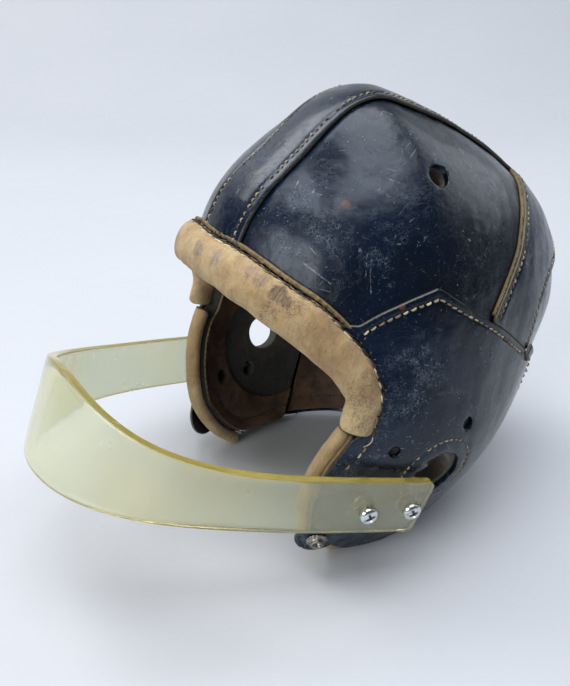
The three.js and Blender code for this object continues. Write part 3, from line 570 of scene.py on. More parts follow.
def slab(name, place, low, high, side, material, shoulder=0.9, grooves=(), holes=(), fray=0.0, inside=False):
    """Wall between two heights over a patch. Its rims are quarter rounds, each sewn line pulls its
    outer face, or its inner one, in by a bell-shaped groove, and the face dips into each hole. The
    mark "rim" is 1 at an edge."""
    phi, w = side_turn(place[0], side), place[1]
    base = bare_head(phi, w)
    inset = np.minimum(run_inset(base), run_inset(base.swapaxes(0, 1)).swapaxes(0, 1))
    drop = shoulder * (1 - np.sqrt(np.maximum(1 - np.clip(1 - inset / shoulder, 0, 1)**2, 0)))
    pull = np.zeros_like(drop)
    for line, depth, width in grooves:
        pull += depth * np.exp(-(distance_to(base, mirrored(line, side)) / width)**2)
    rim = np.exp(-inset / 1.1)
    for spot in holes:
        away = np.linalg.norm(base - hole_axis(spot, side)[0], axis=-1) - spot[2]
        pull += 0.7 * np.clip(1 - away / 1.6, 0, 1)**2
        rim = np.maximum(rim, np.exp(-np.abs(away) / 1.1))
    top = high - drop - (0 if inside else pull)
    if fray:
        top = top + fray * (uneven(base, 2.6, 8) + 0.7 * uneven(base, 1.2, 9)) * np.exp(-inset / 1.5)
    floor = low + np.minimum(drop, (high - low) * 0.35) + (pull if inside else 0)
    points = np.concatenate([shell(phi, w, top).reshape(-1, 3), shell(phi, w, floor).reshape(-1, 3)])
    nu, nv = phi.shape
    border = np.concatenate([
        np.arange(nv), np.arange(1, nu) * nv + nv - 1,
        (nu - 1) * nv + np.arange(nv - 2, -1, -1), np.arange(nu - 2, 0, -1) * nv,
    ])
    after = np.roll(border, -1)
    front = grid_faces(nu, nv)
    wall = np.stack([border, border + nu * nv, after + nu * nv, after], -1)
    quads = np.concatenate([front, front[:, ::-1] + nu * nv, wall])
    return make_piece(name, placed(points), quads, material, {"rim": np.tile(rim.ravel(), 2)})


def rod(name, rings, material, marks=None):
    """Closed rod through section rings. Each end is closed by a ladder of quads across its ring."""
    n, m = rings.shape[:2]
    k = np.arange(m // 2 - 1)
    ladder = np.stack([k, k + 1, m - 2 - k, m - 1 - k], -1)
    quads = np.concatenate([grid_faces(n, m, True), ladder[:, ::-1], ladder + (n - 1) * m])
    return make_piece(name, placed(rings.reshape(-1, 3)), quads, material, marks)


def oval(count, power):
    """Superellipse section: sign times power of the cosine and sine."""
    t = (np.arange(count) + 0.5) / count * 2 * np.pi
    c, s = np.cos(t), np.sin(t)
    return np.sign(c) * np.abs(c)**(2 / power), np.sign(s) * np.abs(s)**(2 / power)


def carried(centre, across, out, wide, high, section):
    """Rings of points: a section of cosines and sines, as wide and high as each station says."""
    c, s = section
    rings = centre[:, None] + (wide[:, None] * c)[..., None] * across[:, None]
    return rings + (high[:, None] * s)[..., None] * out[:, None]


def line_frames(points):
    """Across direction and outward normal along a line on the head."""
    out = normals_at(points)
    return unit(np.cross(tangents(points), out)), out


def lathe(name, profile, point, direction, material, sides=48, flutes=None):
    """Turned piece: a closed profile of radius and height carried round its axis. Flutes are a
    count, a depth and the least radius that they reach."""
    z = unit(np.asarray(direction, float))
    x = unit(np.cross(z, UPWARDS))
    y = np.cross(z, x)
    turn = np.linspace(0, 2 * np.pi, sides, endpoint=False)
    radius, height = np.array(profile, float).T
    r = np.repeat(radius[None], sides, 0)
    if flutes:
        count, depth, least = flutes
        r = r - depth * (0.5 + 0.5 * np.cos(count * turn))[:, None] * (radius >= least)
    points = point + r[..., None] * (np.cos(turn)[:, None, None] * x + np.sin(turn)[:, None, None] * y)
    points = points + height[None, :, None] * z
    rows, m = points.shape[:2]
    i, j = np.meshgrid(np.arange(rows), np.arange(m), indexing="ij")
    i2, j2 = (i + 1) % rows, (j + 1) % m
    quads = np.stack([i * m + j, i * m + j2, i2 * m + j2, i2 * m + j], -1).reshape(-1, 4)
    return make_piece(name, placed(points.reshape(-1, 3)), quads, material)


def stitch_row(name, line, side, material, height=OUTER, pitch=PITCH, length=STITCH, thread=THREAD,
               slant=0.12, seed=1, missing=0.05, slot="leather_tan", outward=1):
    """Row of stitches: each is a short rod that leaves the leather, arches over and dips back in.
    Places, lengths and slants differ a little, and the mark "shade" is random for each stitch. With
    no height given the line itself lies on the leather."""
    rng = np.random.default_rng(seed)
    line = mirrored(line, side)
    count = max(int(length_of(line) / pitch), 2)
    share = (np.arange(count) + 0.5 + rng.uniform(-0.07, 0.07, count)) / count
    share = share[rng.uniform(size=count) > missing]
    count = len(share)
    centre, step = spaced(line, share), 0.4 / length_of(line)
    along = unit(spaced(line, np.minimum(share + step, 1)) - spaced(line, np.maximum(share - step, 0)))
    out = normals_at(centre)
    across = np.cross(out, along)
    lean = slant + rng.normal(0, 0.07, count)
    along = along * np.cos(lean)[:, None] + across * np.sin(lean)[:, None]
    across = np.cross(out, along)
    reach = length / 2 * rng.uniform(0.85, 1.1, count)
    t = np.array([-1.0, -0.86, -0.45, 0.0, 0.45, 0.86, 1.0])
    spine = centre[:, None] + along[:, None] * (t * reach[:, None])[..., None]
    rise = outward * thread * (1.05 - 1.9 * np.abs(t)**3)
    if height is None:
        spine = spine + rise[:, None] * out[:, None]
    else:
        spine = shell(*measure(spine)[1:], np.broadcast_to(height + rise, spine.shape[:2]))
    taper = np.array([0.45, 0.85, 1.0, 1.03, 1.0, 0.85, 0.45])
    girth = thread * rng.uniform(0.85, 1.12, count)[:, None] * taper
    turn = (np.arange(6) + 0.5) / 6 * 2 * np.pi
    rings = spine[:, :, None] + girth[..., None, None] * (
        np.cos(turn)[:, None] * across[:, None, None] + 0.8 * np.sin(turn)[:, None] * out[:, None, None])
    quads = grid_faces(7, 6, True)
    ladder = np.array([[0, 1, 4, 5], [1, 2, 3, 4]])
    quads = np.concatenate([quads, ladder[:, ::-1], ladder + 36])
    quads = (quads[None] + (np.arange(count) * 42)[:, None, None]).reshape(-1, 4)
    shade = np.repeat(rng.uniform(size=count), 42)
    return declare(make_piece(name, placed(rings.reshape(-1, 3)), quads, material, {"shade": shade}), slot)


def loose_thread(name, knots, radius, material, slot="leather_tan"):
    """Thin free thread end through a few points."""
    line = smooth_line(np.array(knots, float), 30)
    along = tangents(line)
    x = unit(np.cross(along, [0.3, 0.2, 1.0]))
    y = np.cross(along, x)
    turn = (np.arange(6) + 0.5) / 6 * 2 * np.pi
    around = np.cos(turn)[:, None] * x[:, None] + np.sin(turn)[:, None] * y[:, None]
    rings = line[:, None] + radius * around
    shade = np.full(rings.shape[:2], 0.5)
    return declare(rod(name, rings, material, {"shade": shade}), slot)


def swell(piece, sewn, pressure, steps, cap):
    """Short cloth run: the sewn points are pinned and pressure swells the leather between them. No
    point moves more than the cap."""
    scene = bpy.context.scene
    mesh = piece.data
    start = np.empty(len(mesh.vertices) * 3, np.float32)
    mesh.vertices.foreach_get("co", start)
    start = start.reshape(-1, 3)
    group = piece.vertex_groups.new(name="sewn")
    group.add([int(k) for k in sewn], 1.0, "REPLACE")
    cloth = piece.modifiers.new("cloth", "CLOTH")
    rules = cloth.settings
    rules.quality = 6
    rules.mass = 0.15
    rules.tension_stiffness = rules.compression_stiffness = 12
    rules.shear_stiffness = 6
    rules.bending_stiffness = 0.6
    rules.vertex_group_mass = "sewn"
    rules.use_pressure = True
    rules.uniform_pressure_force = pressure
    rules.effector_weights.gravity = 0
    cloth.point_cache.frame_start, cloth.point_cache.frame_end = 1, steps
    for number in range(1, steps + 1):
        scene.frame_set(number)
    graph = bpy.context.evaluated_depsgraph_get()
    swollen = piece.evaluated_get(graph).to_mesh()
    end = np.empty_like(start).ravel()
    swollen.vertices.foreach_get("co", end)
    shift = end.reshape(-1, 3) - start
    piece.evaluated_get(graph).to_mesh_clear()
    far = np.linalg.norm(shift, axis=1, keepdims=True)
    shift *= np.minimum(1, cap * MM / np.maximum(far, 1e-9))
    piece.modifiers.clear()
    piece.vertex_groups.clear()
    scene.frame_set(1)
    mesh.vertices.foreach_set("co", (start + shift).astype(np.float32).ravel())
    mesh.update()


def refine(piece):
    """One level of subdivision, applied."""
    step = piece.modifiers.new("fine", "SUBSURF")
    step.levels = step.render_levels = 1
    apply_modifiers(piece)
    return piece


# Node helpers
def node(tree, kind, inputs=None, **settings):
    """Shader node with its settings; inputs are values or sockets, by socket name or number."""
    made = tree.nodes.new("ShaderNode" + kind)
    for key, value in settings.items():
        setattr(made, key, value)
    for key, value in (inputs or {}).items():
        if isinstance(value, bpy.types.NodeSocket):
            tree.links.new(value, made.inputs[key])
        else:
            made.inputs[key].default_value = value
    return made


def maths(operation, *values):
    """One Math node, in the tree of the first socket among its values."""
    tree = next(value.id_data for value in values if isinstance(value, bpy.types.NodeSocket))
    return node(tree, "Math", dict(enumerate(values)), operation=operation).outputs[0]


plus, minus, times, over, most = (
    partial(maths, operation) for operation in ("ADD", "SUBTRACT", "MULTIPLY", "DIVIDE", "MAXIMUM"))


def vector(operation, a, b, output="Value"):
    """One Vector Math node of two vectors."""
    return node(a.id_data, "VectorMath", {0: a, 1: b}, operation=operation).outputs[output]


def ramp(value, low, high, start=0.0, end=1.0):
    """Smooth step of a value between two limits."""
    limits = {0: value, 1: low, 2: high, 3: start, 4: end}
    return node(value.id_data, "MapRange", limits, interpolation_type="SMOOTHSTEP").outputs[0]


def noise(where, scale, detail=4.0, rough=0.55, twist=0.0):
    """Value of one Noise Texture node. The scale and the rest are numbers or sockets."""
    given = {"Vector": where, "Scale": scale, "Detail": detail, "Roughness": rough, "Distortion": twist}
    return node(where.id_data, "TexNoise", given).outputs[0]


def cell_edges(where, scale):
    """Distance to the nearest border between Voronoi cells."""
    given = {"Vector": where, "Scale": scale}
    return node(where.id_data, "TexVoronoi", given, feature="DISTANCE_TO_EDGE").outputs[0]


def stretched(where, scale, turn):
    """Coordinates scaled by axis, so that a noise on them runs in streaks."""
    given = {"Vector": where, "Rotation": turn, "Scale": scale}
    return node(where.id_data, "Mapping", given, vector_type="TEXTURE").outputs[0]


def wavy_place(where, scale, amount):
    """Coordinates pushed about by a coloured noise, so that straight lines on them waver."""
    bent = node(where.id_data, "TexNoise", {"Vector": where, "Scale": scale, "Detail": 2.0}).outputs["Color"]
    return node(where.id_data, "Mix", {0: amount, 4: where, 5: bent}, data_type="VECTOR").outputs[1]


def colour(text):
    """Linear colour from a six-digit screen colour."""
    parts = [int(text[k:k + 2], 16) / 255 for k in (0, 2, 4)]
    return tuple(c / 12.92 if c <= 0.04045 else ((c + 0.055) / 1.055)**2.4 for c in parts) + (1.0,)


def blend(factor, *pair):
    """Two colours mixed by a factor. Each is a screen colour or a socket."""
    a, b = (colour(tone) if isinstance(tone, str) else tone for tone in pair)
    return node(factor.id_data, "Mix", {0: factor, 6: a, 7: b}, data_type="RGBA").outputs[2]


def layered(base, coats):
    """Coats laid over a base colour in turn: each is a mask and a colour."""
    for mask, tone in coats:
        base = blend(mask, base, tone)
    return base


def new_group(name, **inputs):
    """Node group with named inputs and their usual values, its input sockets and Object coordinates."""
    group = bpy.data.node_groups.new(name, "ShaderNodeTree")
    for label, value in inputs.items():
        kind = "NodeSocketVector" if isinstance(value, tuple) else "NodeSocketFloat"
        group.interface.new_socket(label, in_out="INPUT", socket_type=kind).default_value = value
    return group, group.nodes.new("NodeGroupInput").outputs, node(group, "TexCoord").outputs["Object"]


def give_out(group, **outputs):
    """The group with named outputs, each linked to its socket."""
    for label in outputs:
        group.interface.new_socket(label, in_out="OUTPUT", socket_type="NodeSocketFloat")
    end = group.nodes.new("NodeGroupOutput").inputs
    for label, socket in outputs.items():
        group.links.new(socket, end[label])
    return group


def hide_grain_group():
    """Pebbled hide: rounded cells between creases, long folds over them, and a web of fine cracks."""
    group, given, where = new_group("hide grain", Cells=900.0, Folds=60.0, Crazing=480.0)
    pebble = ramp(cell_edges(wavy_place(where, 350.0, 0.0012), given["Cells"]), 0.0, 0.22)
    folds = noise(where, given["Folds"], 6.0, 0.6, 1.4)
    fold = ramp(maths("ABSOLUTE", minus(folds, 0.5)), 0.0, 0.022)
    web = cell_edges(wavy_place(where, 350.0, 0.0035), given["Crazing"])
    return give_out(group, Height=plus(times(pebble, 0.45), times(fold, 0.55)), Creases=minus(1.0, fold),
                    Cracks=ramp(web, 0.012, 0.07, 1.0, 0.0))


# Turn and stretch of the noises that make the hairlines
HAIRLINES = [
    ((0.5, 0.2, 0.9), (6.0, 0.5, 0.6)), ((1.3, 0.5, 0.1), (0.5, 7.0, 0.5)),
    ((0.2, 1.1, 2.2), (0.6, 0.6, 9.0)),
]


def scratches_group():
    """Worn places: soft clouds, broken hairlines in three directions and small flecks."""
    group, given, where = new_group("scratches", Size=26.0, Fine=240.0, Bare=0.5)
    cloud = ramp(noise(where, given["Size"], 5.0, 0.68, 0.4), given["Bare"], plus(given["Bare"], 0.16))
    lines = [ramp(noise(stretched(where, stretch, turn), given["Fine"], 3.0, 0.6), 0.66, 0.72)
             for turn, stretch in HAIRLINES]
    broken = ramp(noise(where, 55.0, 3.0, 0.6), 0.44, 0.62)
    return give_out(group, Cloud=cloud, Lines=times(reduce(most, lines), broken),
                    Flecks=ramp(noise(where, 620.0, 2.0, 0.7), 0.69, 0.74))


def mark_of(tree, name):
    """Value of a named mark at the surface."""
    return node(tree, "Attribute", attribute_name=name).outputs["Fac"]


def edge_wear_group():
    """Bare edge: the mark "rim" broken up by noise."""
    group, given, where = new_group("edge wear", Reach=0.5, Breaks=300.0)
    level = times(mark_of(group, "rim"), plus(0.45, noise(where, given["Breaks"], 3.0, 0.65)))
    return give_out(group, Mask=ramp(level, given["Reach"], plus(given["Reach"], 0.22)))


def dust_group():
    """Dust and dirt: patches of noise, stronger on faces that look up."""
    group, given, where = new_group("dust", Size=38.0, Amount=0.5)
    up = node(group, "SeparateXYZ", {0: node(group, "NewGeometry").outputs["Normal"]}).outputs[2]
    patches = ramp(noise(where, given["Size"], 7.0, 0.72), 0.42, 0.7)
    return give_out(group, Mask=times(times(patches, ramp(up, -0.2, 0.9, 0.35, 1.0)), given["Amount"]))


def mark_group():
    """One located mark: nearness to a place, with a ragged border."""
    group, given, where = new_group("located mark", Place=(0.0, 0.0, 0.0), Radius=0.006, Ragged=0.5)
    ragged = times(minus(noise(where, 260.0, 5.0, 0.7), 0.5), times(given["Ragged"], 4.0))
    level = plus(over(vector("DISTANCE", where, given["Place"]), given["Radius"]), ragged)
    return give_out(group, Mask=ramp(level, 0.55, 1.1, 1.0, 0.0))


def long_scratch_group():
    """One stroke of a scratch: nearness to a straight piece, a little wavy and broken by noise."""
    group, given, where = new_group("long scratch", Start=(0.0, 0.0, 0.0), Span=(0.01, 0.0, 0.0),
                                    Width=0.0004)
    span = given["Span"]
    run = vector("SUBTRACT", wavy_place(where, 300.0, 0.001), given["Start"], "Vector")
    share = over(vector("DOT_PRODUCT", run, span), vector("DOT_PRODUCT", span, span))
    share = node(group, "Clamp", {0: share}).outputs[0]
    foot = node(group, "VectorMath", {0: span, 3: share}, operation="SCALE").outputs[0]
    line = ramp(over(vector("DISTANCE", run, foot), given["Width"]), 0.35, 1.0, 1.0, 0.0)
    return give_out(group, Mask=times(line, ramp(noise(where, 900.0, 3.0, 0.7), 0.38, 0.56)))


HIDE_GRAIN = hide_grain_group()
LONG_SCRATCH = long_scratch_group()
SCRATCHES = scratches_group()
EDGE_WEAR = edge_wear_group()
DUST = dust_group()
LOCATED_MARK = mark_group()


def use(tree, group, **values):
    """A group placed in a material with its own values."""
    made = tree.nodes.new("ShaderNodeGroup")
    made.node_tree = group
    for label, value in values.items():
        made.inputs[label].default_value = value
    return made.outputs


def marks_mask(tree, places):
    """The strongest of several located marks: place, radius and strength."""
    return reduce(most, [
        times(use(tree, LOCATED_MARK, Place=place, Radius=radius * MM)["Mask"], strength)
        for place, radius, strength in places])


def scratches_mask(tree, strokes):
    """All located scratches: each is the places along it and its width."""
    return reduce(most, [
        use(tree, LONG_SCRATCH, Start=start, Span=tuple(np.subtract(end, start)), Width=width * MM)["Mask"]
        for places, width in strokes for start, end in zip(places[:-1], places[1:])])


def new_material(name):
    """Material with its node tree, its Principled shader and its Object coordinates."""
    material = bpy.data.materials.new(name)
    material.use_nodes = True
    tree = material.node_tree
    return material, tree, tree.nodes["Principled BSDF"], node(tree, "TexCoord").outputs["Object"]


def finish_surface(shader, base, rough, height=None, depth=0.0004, strength=1.0, even=None):
    """Base colour, roughness, a bump of that depth where there is a height, and the values that are
    even all over."""
    tree = shader.id_data
    tree.links.new(base, shader.inputs["Base Color"])
    tree.links.new(rough, shader.inputs["Roughness"])
    if height is not None:
        bump = node(tree, "Bump", {"Height": height, "Distance": depth, "Strength": strength})
        tree.links.new(bump.outputs[0], shader.inputs["Normal"])
    for label, value in (even or {}).items():
        shader.inputs[label].default_value = value


def navy_leather(name, cut_edge, edge_reach=0.5, wear=0.52, marks=(), scuffs=(), strokes=()):
    """Glazed navy hide: scuffed clouds with a pale web of cracks, creases, hairlines, long scratches,
    flecks and raw cut edges. A broad waviness in its height breaks up the reflections."""
    material, tree, shader, where = new_material(name)
    grain = use(tree, HIDE_GRAIN, Cells=1150.0, Folds=75.0, Crazing=560.0)
    worn = use(tree, SCRATCHES, Size=21.0, Fine=300.0, Bare=wear)
    fine = noise(where, 900.0, 4.0, 0.7)
    cloud = most(worn["Cloud"], marks_mask(tree, scuffs)) if scuffs else worn["Cloud"]
    haze = times(cloud, ramp(fine, 0.38, 0.66, 0.1, 1.0))
    web = times(times(grain["Cracks"], ramp(noise(where, 150.0, 4.0, 0.65), 0.44, 0.6)), cloud)
    bare = use(tree, EDGE_WEAR, Reach=edge_reach, Breaks=420.0)["Mask"]
    coats = [
        (times(haze, 0.13), "3f4d5c"),
        (times(web, 0.62), "8497a5"),
        (times(grain["Creases"], times(worn["Cloud"], 0.3)), "6c7680"),
        (times(worn["Lines"], 0.5), "8b979e"),
        (times(worn["Flecks"], 0.32), "9aa0a0"),
    ]
    if strokes:
        coats.append((times(scratches_mask(tree, strokes), 0.6), "a5aba8"))
    if marks:
        coats.append((marks_mask(tree, marks), "6b3b26"))
    coats.append((bare, blend(fine, cut_edge, "2a2622")))
    coats.append((use(tree, DUST, Size=30.0, Amount=0.03)["Mask"], "5d6468"))
    base = layered(blend(ramp(noise(where, 9.0, 3.0), 0.35, 0.65), "010812", "03152d"), coats)
    satin = ramp(noise(where, 130.0, 5.0, 0.6), 0.3, 0.7, 0.15, 0.25)
    rough = plus(plus(times(haze, 0.14), satin), times(bare, 0.3))
    height = minus(plus(grain["Height"], times(fine, 0.35)), times(most(worn["Lines"], web), 0.5))
    height = plus(height, times(noise(where, 70.0, 2.0), 14.0))
    even = {"Specular IOR Level": 0.43, "Specular Tint": (0.76, 0.87, 1.0, 1.0), "Coat Roughness": 0.16}
    finish_surface(shader, base, rough, height, 0.00007, 0.85, even)
    tree.links.new(ramp(cloud, 0.0, 1.0, 0.14, 0.03), shader.inputs["Coat Weight"])
    return material


def tan_leather(name, stains=(), smudges=(), cracks=()):
    """Matt tan hide: mottled, fine striations across it, stains, smudges and crackled patches."""
    material, tree, shader, where = new_material(name)
    broad = noise(where, 34.0, 5.0, 0.6, 0.5)
    fine = noise(where, 850.0, 4.0, 0.7)
    streak = noise(stretched(where, (0.35, 3.2, 1.6), (0.35, 0.0, 0.2)), 320.0, 4.0, 0.65)
    grain = use(tree, HIDE_GRAIN, Cells=1500.0, Folds=120.0, Crazing=620.0)
    crust = times(ramp(noise(where, 420.0, 5.0, 0.75, 0.6), 0.5, 0.62), ramp(broad, 0.42, 0.62))
    coats = [
        (ramp(streak, 0.5, 0.7, 0.0, 0.5), "8a6e4b"),
        (times(crust, 0.55), "dcc592"),
        (ramp(fine, 0.56, 0.72, 0.0, 0.45), "75593a"),
        (ramp(noise(where, 52.0, 3.0), 0.55, 0.72, 0.0, 0.35), "b98f74"),
    ]
    if stains:
        coats.append((times(marks_mask(tree, stains), ramp(streak, 0.4, 0.6, 0.35, 0.8)), "6b6470"))
    if smudges:
        coats.append((times(marks_mask(tree, smudges), ramp(streak, 0.36, 0.6, 0.5, 0.95)), "4b3b3b"))
    if cracks:
        web = ramp(most(grain["Cracks"], ramp(grain["Creases"], 0.2, 0.9)), 0.0, 1.0, 0.06, 0.8)
        coats.append((times(marks_mask(tree, cracks), web), "56422f"))
    coats.append((use(tree, DUST, Size=75.0, Amount=0.35)["Mask"], "6b573e"))
    coats.append((times(use(tree, EDGE_WEAR, Reach=0.42, Breaks=260.0)["Mask"], 0.75), "4b3c2b"))
    base = layered(blend(ramp(broad, 0.34, 0.66), "a3855c", "ccb487"), coats)
    height = plus(plus(times(streak, 0.9), plus(grain["Height"], fine)), crust)
    finish_surface(shader, base, ramp(fine, 0.3, 0.7, 0.58, 0.82), height, 0.0004, 0.75,
                   {"Sheen Weight": 0.12, "Sheen Roughness": 0.5})
    return material


def plain_hide(name, dark, light, rough_low, rough_high, depth=0.0003, raw=False):
    """Lining hide or cut suede: two colours by noise, worn rims and a fibrous or grained surface."""
    material, tree, shader, where = new_material(name)
    broad = noise(where, 46.0, 6.0, 0.65, 0.4)
    fine = noise(where, 1100.0 if raw else 700.0, 5.0, 0.75)
    grain = use(tree, HIDE_GRAIN, Cells=1000.0, Folds=90.0)
    worn = use(tree, SCRATCHES, Size=34.0, Fine=280.0, Bare=0.55)
    base = layered(blend(ramp(broad, 0.35, 0.68), dark, light), [
        (ramp(fine, 0.45, 0.75, 0.0, 0.6), dark),
        (times(worn["Lines"], 0.5), light),
        (times(use(tree, EDGE_WEAR, Reach=0.5, Breaks=350.0)["Mask"], 0.5), "8c7655"),
    ])
    height = plus(times(grain["Height"], 0.3 if raw else 1.0), fine)
    finish_surface(shader, base, ramp(fine, 0.3, 0.7, rough_low, rough_high), height, depth, 0.7)
    return material


def felt(name, dark, light, faded=()):
    """Matted felt: tangled fibres as two stretched noises, pills, faded places and a soft sheen."""
    material, tree, shader, where = new_material(name)
    one = noise(stretched(where, (3.0, 0.6, 0.8), (0.4, 0.9, 0.3)), 800.0, 4.0, 0.7, 1.5)
    two = noise(stretched(where, (0.7, 3.0, 0.6), (1.2, 0.1, 0.8)), 700.0, 4.0, 0.7, 1.5)
    tangle = most(one, two)
    clump = noise(where, 95.0, 5.0, 0.65)
    coats = [(ramp(clump, 0.45, 0.7, 0.0, 0.55), dark)]
    if faded:
        coats.append((marks_mask(tree, faded), blend(ramp(tangle, 0.45, 0.72), "2b2619", "5d5640")))
    coats.append((use(tree, DUST, Size=60.0, Amount=0.2)["Mask"], "6f6550"))
    base = layered(blend(ramp(tangle, 0.45, 0.72), dark, light), coats)
    height = plus(tangle, times(clump, 1.5))
    finish_surface(shader, base, ramp(tangle, 0.4, 0.7, 0.9, 1.0), height, 0.0009, 0.9,
                   {"Sheen Weight": 0.35, "Sheen Roughness": 0.6})
    return material


def thread_material(name, dark, light):
    """Waxed thread: a colour of its own for each stitch, dirt and a twist as fine ridges."""
    material, tree, shader, where = new_material(name)
    fine = noise(where, 1500.0, 3.0, 0.7)
    base = layered(blend(ramp(mark_of(tree, "shade"), 0.1, 0.75), dark, light), [
        (ramp(noise(where, 160.0, 4.0), 0.45, 0.7, 0.0, 0.6), dark),
        (ramp(fine, 0.5, 0.75, 0.0, 0.5), "3b3020"),
    ])
    waves = {"Vector": where, "Scale": 420.0, "Distortion": 3.0, "Detail": 1.0}
    twist = node(tree, "TexWave", waves, bands_direction="DIAGONAL").outputs[1]
    finish_surface(shader, base, ramp(fine, 0.3, 0.7, 0.55, 0.8), plus(twist, fine), 0.00012, 0.6)
    return material


def bar_plastic():
    """Clear sheet gone yellow-green: saw-cut edges with a painted amber tint, which stands in for light
    running a longer way through the sheet there, hairlines, and a milky bloom in patches.
    """
    material, tree, shader, where = new_material("aged clear plastic")
    worn = use(tree, SCRATCHES, Size=17.0, Fine=190.0, Bare=0.5)
    base = layered(blend(ramp(noise(where, 16.0, 3.0), 0.35, 0.65), "efedca", "ecefd6"), [
        # Painted amber by the mark rim: the edges take a deeper tint that stands in for light absorbed along
        # the longer path through the sheet.
        (ramp(mark_of(tree, "rim"), 0.35, 0.95, 0.0, 0.9), "d8bf4e"),
        (times(worn["Lines"], 0.35), "f3f2e6"),
    ])
    rough = plus(ramp(worn["Cloud"], 0.0, 1.0, 0.05, 0.2), times(worn["Lines"], 0.15))
    height = minus(times(noise(where, 60.0, 3.0), 0.4), worn["Lines"])
    finish_surface(shader, base, rough, height, 0.0001, 0.4, {"Transmission Weight": 0.8, "IOR": 1.47})
    return material


def metal(name, base, tarnish, rough_low, rough_high, dirt):
    """Plated or turned metal: tarnish in patches, fine tool marks and dirt."""
    material, _, shader, where = new_material(name)
    patches = noise(where, 260.0, 6.0, 0.7)
    fine = noise(where, 2200.0, 3.0, 0.7)
    tone = blend(ramp(patches, 0.5 - dirt * 0.3, 0.75 - dirt * 0.2), base, tarnish)
    rough = ramp(patches, 0.35, 0.7, rough_low, rough_high)
    finish_surface(shader, tone, rough, plus(fine, patches), 0.00006, 0.5, {"Metallic": 1.0})
    return material


# Finishes of this helmet
def scratch(width, height, *places):
    """A scratch through places given as turn and level, cut into pieces of about 7 mm."""
    line = outline(places, 40)
    line = spaced(line, max(round(length_of(line) / 7), 1))
    phi, w = measure(line)[1:]
    return [tuple(map(float, p)) for p in placed(shell(phi, w, height))], width


def spots(height, *rows):
    """Marks at one height off the head, from rows of turn, level, radius and strength."""
    return [(tuple(map(float, placed(shell(math.radians(deg), w, height)))), radius, strength)
            for deg, w, radius, strength in rows]


SCUFFS = spots(0, (-62, 0.795, 9, 0.5), (-50, 0.745, 13, 0.6), (-64, 0.675, 9, 0.45), (-28, 0.705, 9, 0.5),
               (-34, 0.79, 9, 0.6))
SCUFFS += spots(OUTER, (-19, 1.2, 13, 0.6), (-25, 1.31, 11, 0.6), (-13, 1.22, 8, 0.5))
CROWN_SCRATCHES = [
    scratch(0.4, 0, (-34, 0.74), (-35, 0.8), (-33.5, 0.875)), scratch(0.35, 0, (-32, 0.755), (-31.5, 0.85)),
    scratch(0.45, 0, (-55.5, 0.84), (-50.5, 0.857), (-46, 0.875)),
    scratch(0.35, 0, (-54.5, 0.795), (-52.5, 0.805)),
    scratch(0.4, 0, (15.5, 0.56), (26, 0.61), (35, 0.675)), scratch(0.3, 0, (-36.5, 0.77), (-36, 0.83)),
]
FLAP_SCRATCHES = [
    scratch(0.4, FLAP_FACE, (-17.5, 1.195), (-9.5, 1.23)),
    scratch(0.3, FLAP_FACE, (-16, 1.21), (-13, 1.175)),
]
NAVY = navy_leather("navy leather", "5a5240", 0.62, 0.54, spots(0, (-46.5, 0.65, 2.6, 0.45)), SCUFFS,
                    CROWN_SCRATCHES)
NAVY_FLAP = navy_leather("navy flap leather", "7b766c", 0.6, 0.52,
                         spots(FLAP_FACE, (-24.5, 0.895, 2.0, 0.8)), SCUFFS, FLAP_SCRATCHES)
NAVY_QUARTER = navy_leather("navy quarter leather", "7d6f4e", 0.34, 0.56)
TAN = tan_leather(
    "tan roll leather",
    stains=spots(9, (-90, 0.91, 4.5, 0.9), (-81, 0.905, 5, 0.75), (-68.5, 0.905, 4.5, 0.7),
                 (-65, 0.92, 4, 0.55)),
    smudges=spots(10, (-59, 0.935, 6, 0.9), (-56.5, 0.95, 3.5, 0.7)),
    cracks=spots(10, (-54.5, 0.955, 6, 0.9)) + spots(
        9, (-60.5, 0.995, 7, 0.8), (-90, 0.96, 10, 0.7), (-30.5, 1.21, 10, 0.8), (-29, 1.155, 9, 0.8),
        (-27, 1.3, 9, 0.8)),
)
BROWN = plain_hide("brown lining leather", "36281e", "6c523d", 0.5, 0.72)
SEAM_EDGE = plain_hide("dirty seam edge", "2b251d", "6f6249", 0.85, 1.0, 0.0006, True)
SUEDE = plain_hide("raw suede edge", "44382a", "8f7c5c", 0.85, 1.0, 0.0006, True)
FELT_DARK = felt("dark felt", "040405", "161511", spots(-4, (2.4, 1.532, 22, 1.0), (177.6, 1.532, 22, 1.0)))
FELT_BROWN = felt("brown felt", "241a13", "57432f")
CREAM_THREAD = thread_material("cream thread", "7f7154", "d6caa6")
DIRTY_THREAD = thread_material("dirty thread", "544b3a", "a89d80")
DARK_THREAD = thread_material("dark thread", "1c1510", "4b3e2c")
PLASTIC = bar_plastic()
CHROME = metal("bright screw plating", "d9dcde", "8f918c", 0.08, 0.3, 0.1)
PEWTER = metal("tarnished snap metal", "a9a79d", "6a675c", 0.22, 0.45, 0.3)
BRASS = metal("dull brass", "8a7645", "3f351f", 0.25, 0.5, 0.4)

